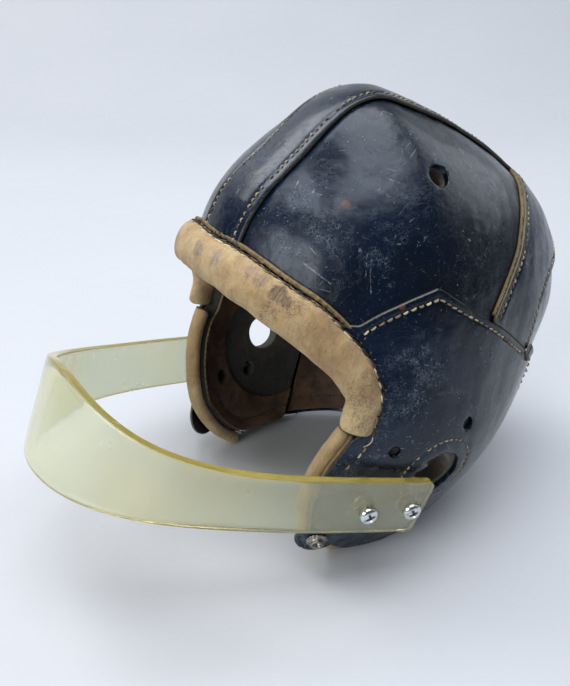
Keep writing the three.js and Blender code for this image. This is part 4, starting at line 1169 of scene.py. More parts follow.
# Lines that the panels share. The shares say where along the roll the side panel ends, and where
# the flap and the felt behind it begin.
ROLL_STEPS = 384
SIDE_END, FLAP_START, PAD_START = 0.625, 0.54, 0.7
roll_line = outline(ROLL_LINE, ROLL_STEPS)
roll_upper = roll_line[:int(ROLL_STEPS * SIDE_END) + 1]
roll_under = moved(roll_line, -UNDER_ROLL)
mid_seam = outline(MID_SEAM)
seam_one, seam_two = outline(SEAM_ONE), outline(SEAM_TWO)
side_front = roll_under[:len(roll_upper)].copy()
for line in (side_front, mid_seam):
    line[0] = slice_points(SEAM_GAP, np.array([slice_angle(line[0])]))[0]
side_rear = moved(mid_seam, -SEAM_GAP)
side_bottom = smooth_line(np.vstack([side_front[-1:], on_head(SIDE_BOTTOM[1:-1]), side_rear[-1:]]))
back_top = moved(mid_seam, SEAM_GAP)
back_bottom = outline(NECK_EDGE)
back_rear = lengthwise(SEAM_GAP, back_top[0], back_bottom[0])
back_bottom[0] = back_rear[-1]
back_front = smooth_line(np.vstack([back_top[-1:], on_head(BACK_FRONT[1:])]))
flap_top = np.vstack([outline(FLAP_TOP_FRONT, 160), outline(FLAP_TOP_REAR, 200)[1:]])
flap_front = np.vstack([roll_under[int(ROLL_STEPS * FLAP_START):], outline(FLAP_FRONT)[8:]])
flap_top = np.vstack([flap_front[:1], flap_top[(flap_top[:, 1] > flap_front[0, 1] + 3)]])
flap_rear, flap_bottom = outline(FLAP_REAR), outline(FLAP_BOTTOM)


def neck_place(deg, above):
    """Turn and level of places at a height in levels above the neck edge."""
    edge = natural_spline(*zip(*NECK_EDGE[::-1]))
    return np.radians(deg), edge(np.minimum(deg, 180 - deg)) - above


def along_strip(inset):
    """Line along the centre strip at an inset from its edge, from the roll to the neck."""
    return lengthwise(STRIP_HALF - inset, roll_upper[0], back_bottom[0])


def ear_line(distance, start, end):
    """Arc round the ear hole at a distance from its rim, between two angles in degrees."""
    centre, out = hole_axis(EAR_HOLE, LEFT)
    x = unit(np.cross(out, UPWARDS))
    y = np.cross(out, x)
    turn = np.radians(np.linspace(start, end, 90))[:, None]
    reach = EAR_HOLE[2] + distance
    line = centre + reach * (np.cos(turn) * x + np.sin(turn) * y)
    return bare_head(*locate(line))


ROLL_STITCH = moved(roll_line, -1.6)
STRIP_STITCH = along_strip(SEAM_INSET)
FLAP_STITCH = [
    outline([(-34.3, 0.993), (-28.5, 0.947), (-21.5, 0.907), (-11.5, 0.866)]),
    outline([(-11.5, 0.866), (-3.3, 0.897), (6, 0.93), (17, 0.975), (31.9, 1.062)]),
    outline([(-24.6, 1.37), (-26.6, 1.437), (-29.6, 1.511)]),
]
FLAP_EDGE_STITCH = moved(flap_rear[20:], 4.0)
SEAM_ONE_STITCH, SEAM_TWO_STITCH = moved(seam_one, 3.4), moved(seam_two, -3.4)
EAR_STITCH = ear_line(7.0, 0, 360)
LINING_STITCH = moved(flap_bottom, 8.5)[24:]
NECK_STITCH = bare_head(*neck_place(np.linspace(25, 155, 240), 0.075))


# Leather panels
def side_panel(side):
    """Crown panel between the roll and the middle seam: a wall over a patch, with a vent."""
    top = lengthwise(SEAM_GAP, side_front[0], side_rear[0])
    place = patch(top, side_bottom, side_front, side_rear, 1.7)
    piece = slab(f"crown_side_{SIDE_NAME[side]}", place, -LEATHER, 0.0, side, NAVY, 0.7)
    subtract(piece, [hole_cutter(CROWN_VENT, side)])
    declare(piece, "leather_black", f"side_panel_{SIDE_NAME[side]}")


def back_panel(side):
    """Crown panel behind the middle seam: a wall over a patch."""
    place = patch(back_top, back_bottom, back_rear, back_front, 1.9)
    piece = slab(f"crown_back_{SIDE_NAME[side]}", place, -LEATHER, 0.0, side, NAVY, 0.7)
    declare(piece, "leather_black", f"back_panel_{SIDE_NAME[side]}")


def rear_quarter(side):
    """Overlaid panel between the two seams, from the centre strip to the flap: a wall over a patch."""
    start = slice_points(STRIP_HALF + GAP, np.array([slice_angle(seam_one[0]), slice_angle(seam_two[0])]))
    one, two = (np.vstack([first[None], line[line[:, 0] > first[0] + 1]])
                for first, line in zip(start, (seam_one, seam_two)))
    top = lengthwise(STRIP_HALF + GAP, one[0], two[0])
    low = moved(outline(FLAP_TOP_REAR), 0.4)
    near = [np.argmin(((low - end)**2).sum(1)) for end in (one[-1], two[-1])]
    bottom = np.vstack([one[-1:], low[near[0] + 4:near[1] - 4], two[-1:]])
    place = patch(top, bottom, one, two, 1.5)
    grooves = [(SEAM_ONE_STITCH, 0.7, 1.0), (SEAM_TWO_STITCH, 0.7, 1.0)]
    piece = slab(f"quarter_{SIDE_NAME[side]}", place, GAP, OUTER, side, NAVY_QUARTER, 1.0, grooves,
                 fray=0.25)
    declare(piece, "leather_black", f"rear_quarter_{SIDE_NAME[side]}")


def centre_strip():
    """Lapped strip over the crown, sections at constant x from the roll to the neck edge."""
    start, end = slice_angle(roll_under[0]), slice_angle(back_bottom[0])
    reach = length_of(slice_points(0.0, np.linspace(start, end, 300)))
    x = (rim_shares(2 * STRIP_HALF, 1.4) - 0.5) * 2 * STRIP_HALF
    line = slice_points(0.0, np.linspace(start, end, 900))
    angles = np.unwrap([slice_angle(p) for p in spaced(line, rim_shares(reach, 1.5))])
    aa, xx = np.meshgrid(angles, x, indexing="ij")
    direction = np.stack([np.zeros_like(aa), np.cos(aa), np.sin(aa)], -1)
    origin = np.stack([xx, np.zeros_like(xx), np.full_like(xx, INSIDE_POINT[2])], -1)
    place = strike(origin, direction)
    grooves = [(STRIP_STITCH, 0.7, 1.1), (STRIP_STITCH * [-1, 1, 1], 0.7, 1.1)]
    piece = slab("crown_strip", place, GAP, OUTER, LEFT, NAVY, 1.0, grooves)
    declare(piece, "leather_black", "centre_strip")


def ear_flap(side):
    """Overlaid flap: a wall over a patch, cut by the ear hole, two vents and the screws."""
    place = patch(flap_top, flap_bottom, flap_front, flap_rear, 1.35)
    grooves = [(line, 0.75, 1.0) for line in FLAP_STITCH + [EAR_STITCH]] + [(FLAP_EDGE_STITCH, 0.5, 1.0)]
    holes = [EAR_HOLE] + FLAP_VENTS
    piece = slab(f"flap_{SIDE_NAME[side]}", place, GAP, FLAP_FACE, side, NAVY_FLAP, 1.0, grooves, holes, 0.1)
    subtract(piece, [hole_cutter(spot, side) for spot in holes] + screw_bores(side, BORE))
    declare(piece, "leather_black", f"ear_flap_{SIDE_NAME[side]}")


def pad_place():
    """Turns and levels of the patch that the felt and the facing behind the flap share."""
    rear = moved(back_front, -0.5)
    top = moved(side_bottom, -1.0)
    top[-1] = rear[0]
    front = np.vstack([top[:1], roll_under[int(ROLL_STEPS * PAD_START):], outline(FLAP_FRONT)[24:]])
    low = [(d, w - 0.006) for d, w in FLAP_BOTTOM[1:-1]]
    bottom = smooth_line(np.vstack([on_head(FLAP_BOTTOM[:1]), on_head(low), rear[-1:]]))
    front[-1], bottom[0] = bottom[0], bottom[0]
    return patch(top, bottom, front, rear, 1.9)


def ear_pad(side, place):
    """Felt behind the flap: a thick wall over the shared patch, with the ear hole and the nuts' bores."""
    piece = slab(f"ear_felt_{SIDE_NAME[side]}", place, -EAR_FELT, -0.05, side, FELT_DARK, 1.2)
    subtract(piece, [hole_cutter(PAD_HOLE, side)] + screw_bores(side, NUT_BORE))
    declare(piece, "felt_dark", f"ear_pad_{SIDE_NAME[side]}")


def ear_lining(side, place):
    """Hide facing of the felt: a wall over the shared patch, with a round recess and a sewn edge."""
    inner = -EAR_FELT - GAP - LINING
    piece = slab(f"ear_facing_{SIDE_NAME[side]}", place, inner, -EAR_FELT - GAP, side, BROWN, 0.8,
                 [(LINING_STITCH, 0.9, 1.2)], inside=True)
    subtract(piece, [hole_cutter(RECESS, side, 96)] + screw_bores(side, NUT_BORE))
    declare(piece, "leather_brown", f"ear_lining_{SIDE_NAME[side]}")
    stitch_row(f"ear_facing_stitches_{SIDE_NAME[side]}", LINING_STITCH, side, DARK_THREAD, inner + 0.6,
               *LINING_THREAD, seed=32, slot="leather_brown", outward=-1)


def neck_lining():
    """Lining hide behind the neck, a wall between the flaps' turns from its top level down to just
    above the neck edge, with a sewn channel."""
    down, share = np.meshgrid(rim_shares(95, 2.2), rim_shares(220, 2.2), indexing="xy")
    side = natural_spline(*zip(*NECK_SIDE))(NECK_TOP + NECK_SPAN * down)
    deg = side + 0.2 + (180 - 2 * side - 0.4) * share
    phi, foot = neck_place(deg, NECK_SHORT)
    inner = -LEATHER - GAP - NECK_LINING
    place = (phi, NECK_TOP + (foot - NECK_TOP) * down)
    piece = slab("neck_facing", place, inner, -LEATHER - GAP, LEFT, BROWN, 0.9, [(NECK_STITCH, 0.9, 1.2)],
                 inside=True)
    declare(piece, "leather_brown", "neck_lining")
    stitch_row("neck_facing_stitches", NECK_STITCH, LEFT, DARK_THREAD, inner + 0.6, *LINING_THREAD,
               seed=33, slot="leather_brown", outward=-1)


def crown_lining():
    """Felt cap: rings of levels from the crown to its edge, with quilted channels as shallow folds."""
    edge = natural_spline(*zip(*CROWN_EDGE))
    turns, levels = 300, 90
    deg = -90 + 360 * np.arange(turns) / turns
    last = edge(np.where(deg <= 90, deg, 180 - deg)) - 0.01
    share = np.concatenate([[0.004], np.linspace(0.02, 1, levels - 1)])
    phi, w = np.radians(deg)[None], share[:, None] * last[None]
    base = bare_head(np.broadcast_to(phi, w.shape), w)
    rim = np.exp(-np.linalg.norm(base - base[-1:], axis=-1) / 1.5)
    channel = np.abs(np.abs(base[..., 0]) - QUILT_AT)
    channel = np.minimum(channel, np.abs(base[..., 1] - 20 + 0.1 * base[..., 2]))
    fold = QUILT_DEEP * np.exp(-(channel / QUILT_WIDE)**2)
    inner = shell(phi, w, -LEATHER - GAP - CROWN_FELT + fold + 0.9 * rim)
    outer = shell(phi, w, -LEATHER - GAP - 0.1 - 0.9 * rim)
    rings = np.concatenate([inner, outer[::-1]])
    piece = rod("crown_felt", rings, FELT_BROWN, {"rim": np.concatenate([rim, rim[::-1]])})
    subtract(piece, [hole_cutter(FELT_VENT, LEFT), hole_cutter(FELT_VENT, RIGHT)])
    declare(piece, "felt_brown", "crown_lining")


# Padded rolls
def rounded_end(left_over, least):
    """Size of a roll near its ends: a quarter circle from the least share to the whole over 3 steps."""
    return least + (1 - least) * np.sqrt(np.maximum(1 - (1 - np.minimum(left_over / 3, 1))**2, 0))


def brow_roll():
    """Stuffed roll: a flattened oval carried over the forehead from cheek to cheek, squared off at
    the ends, then swelled between its sewn edge and its turned-in edge by a cloth run."""
    left = outline(ROLL_LINE, 110)
    path = np.vstack([left[:0:-1] * [-1, 1, 1], left])
    share = np.linspace(0, 1, len(path))
    side_part = 2 * np.maximum(0, np.abs(2 * share - 1) - 0.5)
    wide, high, lift = (front - less * side_part for front, less in (ROLL_WIDE, ROLL_HIGH, ROLL_LIFT))
    across, out = line_frames(path)
    centre = path + across * (wide + 0.1)[:, None] + out * (lift + relief(path) * 0.6)[:, None]
    left_over = np.minimum(share, 1 - share) * ROLL_LENGTH
    end = rounded_end(left_over, 0.8)
    c, s = oval(ROLL_SIDES, 2.05)
    lumps = 1 + 0.03 * uneven(path, 24, 5)
    slack = 0.94
    wide, high = wide * end * slack, high * end * slack
    rings = carried(centre, across, out, wide * lumps, high, (c, s))
    wrinkle = 0.35 * uneven(rings, 15, 21) + 0.16 * uneven(rings, 6, 22)
    rings = rings + unit(rings - centre[:, None]) * wrinkle[..., None]
    edge_gap = distance_to(rings, np.vstack([ROLL_STITCH[:0:-1] * [-1, 1, 1], ROLL_STITCH]))
    rings = rings - out[:, None] * (1.3 * np.exp(-(edge_gap / 5.5)**2) * (s > 0))[..., None]
    rim = np.exp(-left_over / 1.2)[:, None] * np.ones(ROLL_SIDES)
    piece = rod("brow_padding", rings, TAN, {"rim": rim})
    top_edge = np.abs(c + 0.93) < 0.1
    low_edge = np.abs(c - 0.93) < 0.1
    stations, places = np.meshgrid(np.arange(len(path)), np.arange(ROLL_SIDES), indexing="ij")
    sewn = (top_edge[places] & (stations % 3 != 1)) | (low_edge[places] & (stations % 5 == 0))
    sewn |= (s[places] < -0.6) | (stations < 2) | (stations > len(path) - 3)
    swell(piece, np.flatnonzero(sewn.ravel()), 3.0, 14, 1.8)
    refine(piece)
    declare(piece, "leather_tan", "brow_roll")
    sew_roll(rings, out)


def sew_roll(rings, out):
    """Thread in the roll's sewn groove: a dark lay with cream stitches over it, and a loose loop at
    each end that runs on to the flap."""
    upper, groove = rings[2:-2, 19] + out[2:-2] * 0.1, rings[2:-2, 20] + out[2:-2] * 0.1
    over_groove = (upper * 2 + groove) / 3
    stitch_row("roll_dark_stitches", groove, LEFT, DARK_THREAD, None, 3.3, 3.4, 0.42, 0.04, 12, 0.0)
    stitch_row("roll_stitches", over_groove, LEFT, CREAM_THREAD, None, 7.4, 4.4, 0.42, 0.14, 11, 0.12)
    for side, start in ((RIGHT, groove[0]), (LEFT, groove[-1])):
        turns = side_turn(np.radians([-24.7, -25.2, -26.4]), side)
        run = shell(turns, np.array([1.366, 1.385, 1.402]), np.array([4.8, 4.1, 2.9]))
        loose_thread(f"roll_thread_{SIDE_NAME[side]}", [start, *run], 0.34, CREAM_THREAD)


def edge_roll(side):
    """Thin stuffed roll that binds the flap's front edge."""
    path = spaced(np.vstack([outline(FLAP_FRONT), outline(FLAP_BOTTOM[:4])[1:]]), 100)
    path = smooth_line(spaced(path, 14), 100)
    across, out = line_frames(path)
    share = np.linspace(0, 1, len(path))
    left_over = np.minimum(share, 1 - share) * EDGE_LENGTH
    end = rounded_end(left_over, 0.5)
    lumps = 1 + 0.04 * uneven(path, 9, 6)
    centre = path + across * EDGE_OUT - out * EDGE_DOWN
    section = oval(EDGE_SIDES, 2.4)
    rings = carried(centre, across, out, EDGE_WIDE * end * lumps, EDGE_HIGH * end, section)
    rim = np.exp(-left_over / 1.5)[:, None] * np.ones(EDGE_SIDES)
    piece = rod(f"flap_binding_{SIDE_NAME[side]}", mirrored(rings, side), TAN, {"rim": rim})
    refine(piece)
    declare(piece, "leather_tan", f"edge_roll_{SIDE_NAME[side]}")


# Face bar
def slanted(s, v):
    """Place along the bar at height v: near its ends it falls back towards the lower edge."""
    near = np.clip((np.abs(s) - 0.86) / (BAR_END - 0.86), 0, 1)
    return s - np.sign(s) * BAR_SLANT * near * (1 - v) / 2


def face_bar():
    """Bent strip of clear sheet: a rounded oblong section carried along the bar's line, with slanted
    ends and round corners, and bored for the screws."""
    even = np.linspace(-1, 1, 321)
    tips = np.array([0.99, 0.993, 0.996, 0.9985, 1])
    s = np.unique(np.concatenate([np.sign(even) * np.abs(even)**0.94 * 0.985, -tips, tips])) * BAR_END
    middle, _, _, half = bar_frame(s)
    run = np.concatenate([[0], np.cumsum(np.linalg.norm(np.diff(middle, axis=0), axis=1))])
    tip = np.minimum(run, run[-1] - run)
    short = np.maximum(BAR_CORNER - tip, 0)
    inset = BAR_CORNER - np.sqrt(BAR_CORNER**2 - short**2)
    c, sn = oval(56, 9.0)
    thin = BAR_THICK / 2 * (0.8 + 0.2 * np.sqrt(1 - (1 - tip / 0.8).clip(0, 1)**2))
    v = c * (half - 0.3 - inset)[:, None]
    centre, up, out, _ = bar_frame(slanted(s[:, None], v / half[:, None]))
    rings = centre + v[..., None] * up + (thin[:, None] * sn)[..., None] * out
    # The mark rim, 1 at the edges, drives the painted amber tint that stands in for light running through
    # the edges.
    from_edge = np.minimum((half - inset)[:, None] - np.abs(v), tip[:, None] + 0.4)
    rim = np.exp(-np.maximum(from_edge - 0.3, 0) / 1.1)
    piece = rod("clear_bar", rings, PLASTIC, {"rim": rim})
    bores = [screw_bores(side, SCREW_SHANK + 0.35, 10.0, -6.0) for side in (LEFT, RIGHT)]
    subtract(piece, bores[0] + bores[1])
    declare(piece, "bar_clear", "face_bar")


# Fasteners
def screw_sites(side):
    """Point in the bar, outward direction and width direction of the two screws on a side."""
    sites = []
    for s, v in SCREWS.values():
        centre, up, out, half = bar_frame(np.array(s * side))
        sites.append((centre + up * v * half, out, up))
    return sites


def screw_bores(side, radius, high=2.0, low=-30.0):
    """Round cutters along the two screws on a side."""
    levels = [(low, 1), (high, 1)]
    return [prism(circle(radius, 32), levels, *site) for site in screw_sites(side)]


def flap_depth(point, out, height):
    """How far in from the bar's middle the flap's face lies, along a screw."""
    t = np.linspace(2, 26, 241)
    size = measure(point - out * t[:, None])[0]
    return float(t[np.argmax(size < (1 + height / 92)**2)])


def cross_outline(reach, half):
    """Corners of a cross: one arm's three corners, turned by quarters."""
    arm = np.array([(reach, -half), (reach, half), (half, half)], float)
    quarters = ((1, 0), (0, 1), (-1, 0), (0, -1))
    return np.concatenate([arm @ np.array([[c, s], [-s, c]], float) for c, s in quarters])


def pan_screw(tag, point, out, up):
    """Pan-head screw turned about its axis: a dome by cosine, a ridged shank, and a tapered cross
    recess with a near-black block in its lower part."""
    seat, turned = point + out * (BAR_THICK / 2 + GAP), unit(up + 0.6 * np.cross(out, up))
    dome = [((SCREW_HEAD - 0.25) * math.sin(a)**0.8, 1.0 + 1.85 * math.cos(a))
            for a in np.linspace(0, np.pi / 2, 12)[1:]]
    edge = [(SCREW_HEAD, 0.55), (SCREW_HEAD, 0.1), (SCREW_HEAD - 0.2, 0), (SCREW_SHANK, 0)]
    shank = [(SCREW_SHANK - 0.25 * (k % 2), -0.6 - 0.45 * k) for k in range(52)]
    profile = [(0.02, 2.85)] + dome + edge + shank + [(0.02, -SCREW_REACH)]
    screw = lathe(f"pan_screw_{tag}", profile, seat, out, CHROME, 56)
    slot = cross_outline(2.9, 0.7)
    subtract(screw, [prism(slot, [(0.6, 0.45), (1.3, 0.7), (3.6, 1.12)], seat, out, turned)])
    declare(screw, "steel", f"screw_{tag}")
    # A near-black block, in the dark felt finish, fills the lower part of the cross recess.
    recess_fill = prism(slot * 0.97, [(0.7, 0.48), (1.3, 0.7), (1.9, 0.8)], seat, out, turned)
    recess_fill.name = recess_fill.data.name = f"screw_grime_{tag}"
    recess_fill.data.materials.append(FELT_DARK)
    declare(recess_fill, "steel")


def washer_stack(tag, point, out):
    """Washers and sleeves from the bar to the flap: a turned profile of five steps."""
    deep, start = flap_depth(point, out, OUTER), -BAR_THICK / 2 - GAP
    sleeve = [(BORE, start)]
    for k in range(5):
        low, high = (start - (deep + start) * step / 5 for step in (k, k + 1))
        wide = 4.9 if k % 2 == 0 else 4.1
        sleeve += [(wide, low - 0.05), (wide, high + 0.05)]
    sleeve += [(BORE, -deep)]
    declare(lathe(f"washer_stack_{tag}", sleeve, point, out, BRASS, 40), "brass", f"spacer_{tag}")


def nut_inside(tag, point, out):
    """Nut behind the flap's lining: a turned profile with six flats as flutes."""
    base = -flap_depth(point, out, GAP)
    nut = [(BORE, base), (4.2, base), (4.2, base - 0.8), (3.9, base - 0.85), (4.0, base - 1.2),
           (4.0, STACK_END + 0.5), (3.5, STACK_END), (BORE, STACK_END)]
    piece = lathe(f"nut_inside_{tag}", nut, point, out, BRASS, 36, (6, 0.45, 3.95))
    declare(piece, "brass", f"nut_{tag}")


def screw_set(side):
    """The two screws on a side, each with its washers and its nut."""
    for where, (point, out, up) in zip(SCREWS, screw_sites(side)):
        tag = f"{where}_{SIDE_NAME[side]}"
        pan_screw(tag, point, out, up)
        washer_stack(tag, point, out)
        nut_inside(tag, point, out)


def snap_tab(side):
    """Leather tab with a round end, laid on the flap's face below its corner."""
    turn = math.radians(SNAP_AT[0])
    point, out = bare_head(turn, SNAP_AT[1]), head_normal(turn, SNAP_AT[1])
    inward = bare_head(math.radians(-22), 1.74) - point
    a = unit(inward - out * (inward @ out))
    b = np.cross(out, a)
    u = -TAB_HALF + (TAB_HALF + TAB_LENGTH) * rim_shares(TAB_HALF + TAB_LENGTH, 1.0)
    v = rim_shares(2 * TAB_HALF, 1.0) * 2 - 1
    half = np.where(u < 0, np.sqrt(np.maximum(TAB_HALF**2 - u**2, 1.2)), TAB_HALF)
    flat = point + u[:, None, None] * a + (half[:, None] * v)[..., None] * b
    t = np.linspace(1.9, 4.4, 60)[:, None]
    arc = point + (np.cos(t) * a + np.sin(t) * b) * (TAB_HALF - 2.6)
    sewn = spaced(bare_head(*locate(arc)), 59)
    piece = slab(f"strap_tab_{SIDE_NAME[side]}", locate(flat), TAB_LOW, TAB_FACE, side, NAVY_FLAP, 0.9,
                 [(sewn, 0.5, 0.9)])
    declare(piece, "leather_black", f"snap_tab_{SIDE_NAME[side]}")
    stitch_row(f"tab_stitches_{SIDE_NAME[side]}", sewn, side, DARK_THREAD, TAB_FACE - 0.35, 2.9, 2.2, 0.38,
               seed=31)


def snap_stud(side):
    """Snap of turned profiles: crimped flange, flared collar and a hollow post with a rolled lip."""
    turn = side_turn(math.radians(SNAP_AT[0]), side)
    point, out = shell(turn, SNAP_AT[1], TAB_FACE + 0.4), head_normal(turn, SNAP_AT[1])
    flange = [(1.9, 0), (6.2, 0), (6.2, 0.35), (5.4, 0.9), (4.7, 1.15), (4.5, 1.3), (1.9, 1.3)]
    base = lathe(f"snap_flange_{SIDE_NAME[side]}", flange, point, out, PEWTER, 96, (16, 0.55, 4.6))
    declare(base, "steel_dark")
    post = [
        (1.9, 0.6), (4.1, 0.6), (4.15, 1.6), (3.75, 2.0), (3.75, 2.4), (4.05, 2.8), (4.05, 3.2), (3.7, 3.5),
        (3.1, 3.6), (2.6, 3.45), (2.35, 3.0), (2.3, 1.4), (1.9, 1.2),
    ]
    stud = lathe(f"snap_post_{SIDE_NAME[side]}", post, point, out, PEWTER, 56)
    declare(stud, "steel_dark", f"snap_{SIDE_NAME[side]}")
    floor = [(0.02, 0.1), (2.4, 0.1), (2.4, 0.8), (0.02, 0.8)]
    declare(lathe(f"snap_floor_{SIDE_NAME[side]}", floor, point, out, FELT_DARK, 32), "steel_dark")


# Trim on the leather
def ribbon(name, line, wide, low, high, side, material, fray=0.0, spacing=1.1, slot="leather_tan"):
    """Narrow strip of leather along a line, its edges the line moved to both sides."""
    share = np.linspace(-0.5, 0.5, max(int(wide / 0.45), 4))[:, None, None] * wide
    line = spaced(line, int(length_of(line) / spacing))
    across = line_frames(line)[0]
    place = locate(line[None] + share * across[None])
    return declare(slab(name, place, low, high, side, material, 0.5, fray=fray), slot)


def seam_bands(side):
    """Rough leather edge along the two seams, with torn fibres as tiny stitches."""
    for name, line, shift in (("one", seam_one, -1.0), ("two", seam_two, 1.0)):
        tag, middle = f"{name}_{SIDE_NAME[side]}", moved(line, shift)
        ribbon(f"seam_band_{tag}", middle, 1.5, 0.0, 1.8, side, SEAM_EDGE, 0.5, 0.6)
        stitch_row(f"seam_fibres_{tag}", middle, side, DIRTY_THREAD, 1.7, 1.5, 1.7, 0.18, 1.1, 51, 0.2)


def trim(side):
    """Ribbons and thread on the leather: the raw welt along the brow roll, the seam bands, the flap's
    front facing and rear tab, and loose ends."""
    tag = SIDE_NAME[side]
    ribbon(f"roll_welt_{tag}", moved(roll_line, 1.1), 2.1, 0.1, 3.1, side, SUEDE, 0.75, 0.6)
    seam_bands(side)
    front = smooth_line(spaced(outline(FLAP_FRONT), 12), 200)
    ribbon(f"flap_facing_{tag}", moved(front, -0.9), 1.5, -0.4, 3.3, side, SUEDE, 0.2)
    groove = moved(smooth_line(spaced(outline(FLAP_FRONT + FLAP_BOTTOM[1:4]), 16), 200), -0.5)
    stitch_row(f"binding_stitches_{tag}", groove, side, DARK_THREAD, -EAR_FELT - GAP - LINING - 0.2, 4.2,
               3.0, 0.5, seed=41)
    low_corner = outline([(36.6, 1.055), (38.4, 1.075), (39.6, 1.1)])
    ribbon(f"rear_tab_{tag}", low_corner, 7.0, 2.8, 4.9, side, NAVY_FLAP, slot="leather_black")
    for k, (deg, w) in enumerate([(41.2, 1.115), (42.6, 1.15), (43.4, 1.185)]):
        turns = side_turn(np.radians(deg + np.array([0, 1.2, 2.6, 3.2])), side)
        levels = w + np.array([0, 0.012, 0.004, 0.024]) * (1 - 0.3 * k)
        tail = shell(turns, levels, np.array([2.6, 3.8, 3.4 + 0.5 * k, 2.9]))
        loose_thread(f"rear_thread_{k}_{tag}", tail, 0.22, CREAM_THREAD)


# Rows of stitches: name, line, thread, height, pitch, length, radius, slant, seed, share missing
STITCH_ROWS = [
    ("roll", ROLL_STITCH, CREAM_THREAD, 4.6, 6.2, 4.8, 0.6, 0.1, 11, 0.12),
    ("roll_dark", moved(roll_line, -0.7), DARK_THREAD, 4.4, 6.2, 5.6, 0.55, 0.16, 12, 0.0),
    ("strip", STRIP_STITCH, DIRTY_THREAD, OUTER - 0.55, PITCH, STITCH, THREAD, 0.12, 13, 0.05),
    ("flap_front", FLAP_STITCH[0], CREAM_THREAD, FLAP_FACE - 0.55, 4.1, 3.1, 0.62, 0.12, 14, 0.05),
    ("flap_rear", FLAP_STITCH[1], DIRTY_THREAD, FLAP_FACE - 0.55, 4.1, 3.1, 0.58, 0.12, 15, 0.05),
    ("flap_low", FLAP_STITCH[2], CREAM_THREAD, FLAP_FACE - 0.55, 4.0, 3.0, THREAD, 0.12, 16, 0.05),
    ("flap_edge", FLAP_EDGE_STITCH, DARK_THREAD, FLAP_FACE - 0.4, 4.4, 2.8, 0.42, 0.12, 17, 0.05),
    ("seam_one", SEAM_ONE_STITCH, DIRTY_THREAD, OUTER - 0.55, PITCH, STITCH, THREAD, 0.12, 18, 0.05),
    ("seam_two", SEAM_TWO_STITCH, DIRTY_THREAD, OUTER - 0.55, PITCH, STITCH, THREAD, 0.12, 19, 0.05),
    ("ear", EAR_STITCH, DIRTY_THREAD, FLAP_FACE - 0.55, 3.6, 2.5, 0.45, 0.12, 20, 0.05),
]


def all_stitches(side):
    """The rows of the table, on one side."""
    for name, line, *row in STITCH_ROWS:
        stitch_row(f"{name}_stitches_{SIDE_NAME[side]}", line, side, *row)


def build_helmet():
    """All pieces of the helmet."""
    centre_strip()
    place = pad_place()
    for side in (LEFT, RIGHT):
        for panel in (side_panel, back_panel, rear_quarter, ear_flap):
            panel(side)
        ear_pad(side, place)
        ear_lining(side, place)
        for detail in (edge_roll, snap_tab, snap_stud, screw_set, trim, all_stitches):
            detail(side)
    for piece in (crown_lining, neck_lining, brow_roll, face_bar):
        piece()


build_helmet()


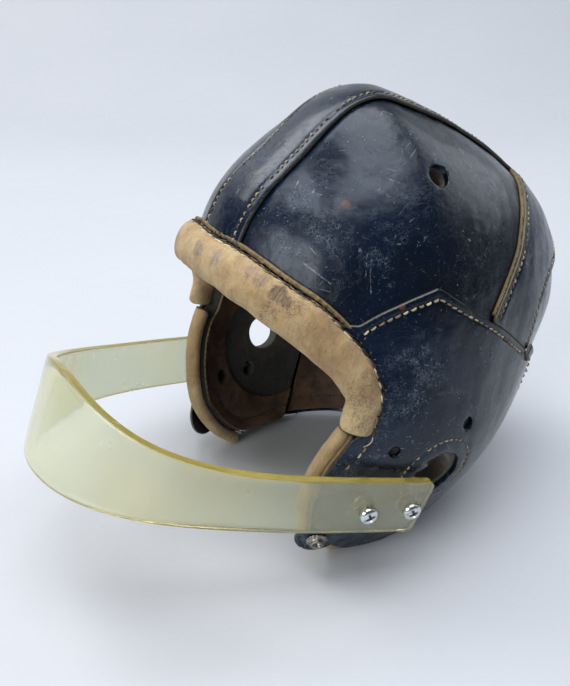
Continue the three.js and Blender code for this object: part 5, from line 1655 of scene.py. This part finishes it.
# Studio
def backdrop():
    """Floor that curves up into a wall: rows of a quarter circle between two flats. Its tone darkens
    towards the camera: painted shade, standing in for a dark room on that side."""
    reach, bend = 2.6, 0.9
    turn = np.linspace(0, np.pi / 2, 14)
    run = np.concatenate([[-reach], bend * np.sin(turn) + 0.9, [0.9 + bend]])
    rise = np.concatenate([[0.0], bend * (1 - np.cos(turn)), [2.6]])
    away = np.array([-BACK[0], -BACK[1], 0]) / math.hypot(BACK[0], BACK[1])
    across = np.array([away[1], -away[0], 0])
    rows = run[:, None, None] * away + np.linspace(-3, 3, 3)[None, :, None] * across
    rows = rows + rise[:, None, None] * UPWARDS
    mesh = bpy.data.meshes.new("backdrop")
    mesh.from_pydata(rows.reshape(-1, 3).tolist(), [], grid_faces(len(run), 3).tolist())
    mesh.polygons.foreach_set("use_smooth", [True] * len(mesh.polygons))
    material, _, shader, where = new_material("studio paper")
    tone = blend(noise(where, 3.0, 2.0), "b9bec6", "c2c6cd")
    # Painted shade: the paper turns dark grey towards the camera, standing in for the unlit room there.
    near = ramp(vector("DOT_PRODUCT", where, tuple(away)), -0.75, -0.28, 1.0, 0.0)
    finish_surface(shader, blend(near, tone, "5b5e63"), ramp(noise(where, 40.0), 0.3, 0.7, 0.55, 0.65))
    mesh.materials.append(material)
    floor = new_object("backdrop", mesh)


def area_light(name, place, aim, size, power, tint):
    """Oblong lamp at a place, turned towards its aim."""
    lamp = bpy.data.lights.new(name, "AREA")
    lamp.shape, lamp.size, lamp.size_y = "RECTANGLE", size[0], size[1]
    lamp.energy, lamp.color = power, tint
    light = new_object(name, lamp)
    light.location = place
    light.rotation_euler = (Vector(aim) - Vector(place)).to_track_quat("-Z", "Y").to_euler()


EYE = np.array([0.3649, -0.2381, 0.3354])
BACK = np.array([0.7536, -0.4569, 0.4726])
UP = np.array([-0.4041, 0.2450, 0.8813])
FOCAL, FILM = 42.8, 36.0


def camera():
    """Camera at the photograph's place, its axes from the two directions above."""
    lens = bpy.data.cameras.new("camera")
    lens.sensor_fit, lens.sensor_height, lens.lens = "VERTICAL", FILM, FOCAL
    lens.clip_start, lens.clip_end = 0.01, 20
    eye = new_object("camera", lens)
    back = unit(BACK)
    right = unit(np.cross(UP, back))
    up = np.cross(back, right)
    pose = np.eye(4)
    pose[:3] = np.stack([right, up, back, EYE], 1)
    eye.matrix_world = Matrix(pose.tolist())
    bpy.context.scene.camera = eye


def studio():
    """Backdrop, four soft lamps and a faint pale world."""
    backdrop()
    area_light("window", (-1.5, -0.65, 1.85), (0, 0, 0.12), (1.2, 1.2), 26, (1.0, 0.985, 0.96))
    area_light("front", (0.5, -1.9, 1.0), (0, 0, 0.12), (1.6, 1.2), 27, (1.0, 0.98, 0.95))
    area_light("overhead", (0.05, 0.12, 1.65), (0, 0, 0.1), (1.5, 1.5), 30, (0.97, 0.98, 1.0))
    area_light("rear", (0.1, 1.5, 0.9), (0, 0, 0.12), (1.2, 1.0), 6, (0.93, 0.97, 1.0))
    world = bpy.data.worlds.new("pale room")
    world.use_nodes = True
    sky = world.node_tree.nodes["Background"].inputs
    sky[0].default_value, sky[1].default_value = (0.86, 0.91, 1.0, 1), 0.13
    bpy.context.scene.world = world
    bpy.context.scene.view_settings.view_transform = "Standard"


camera()
studio()
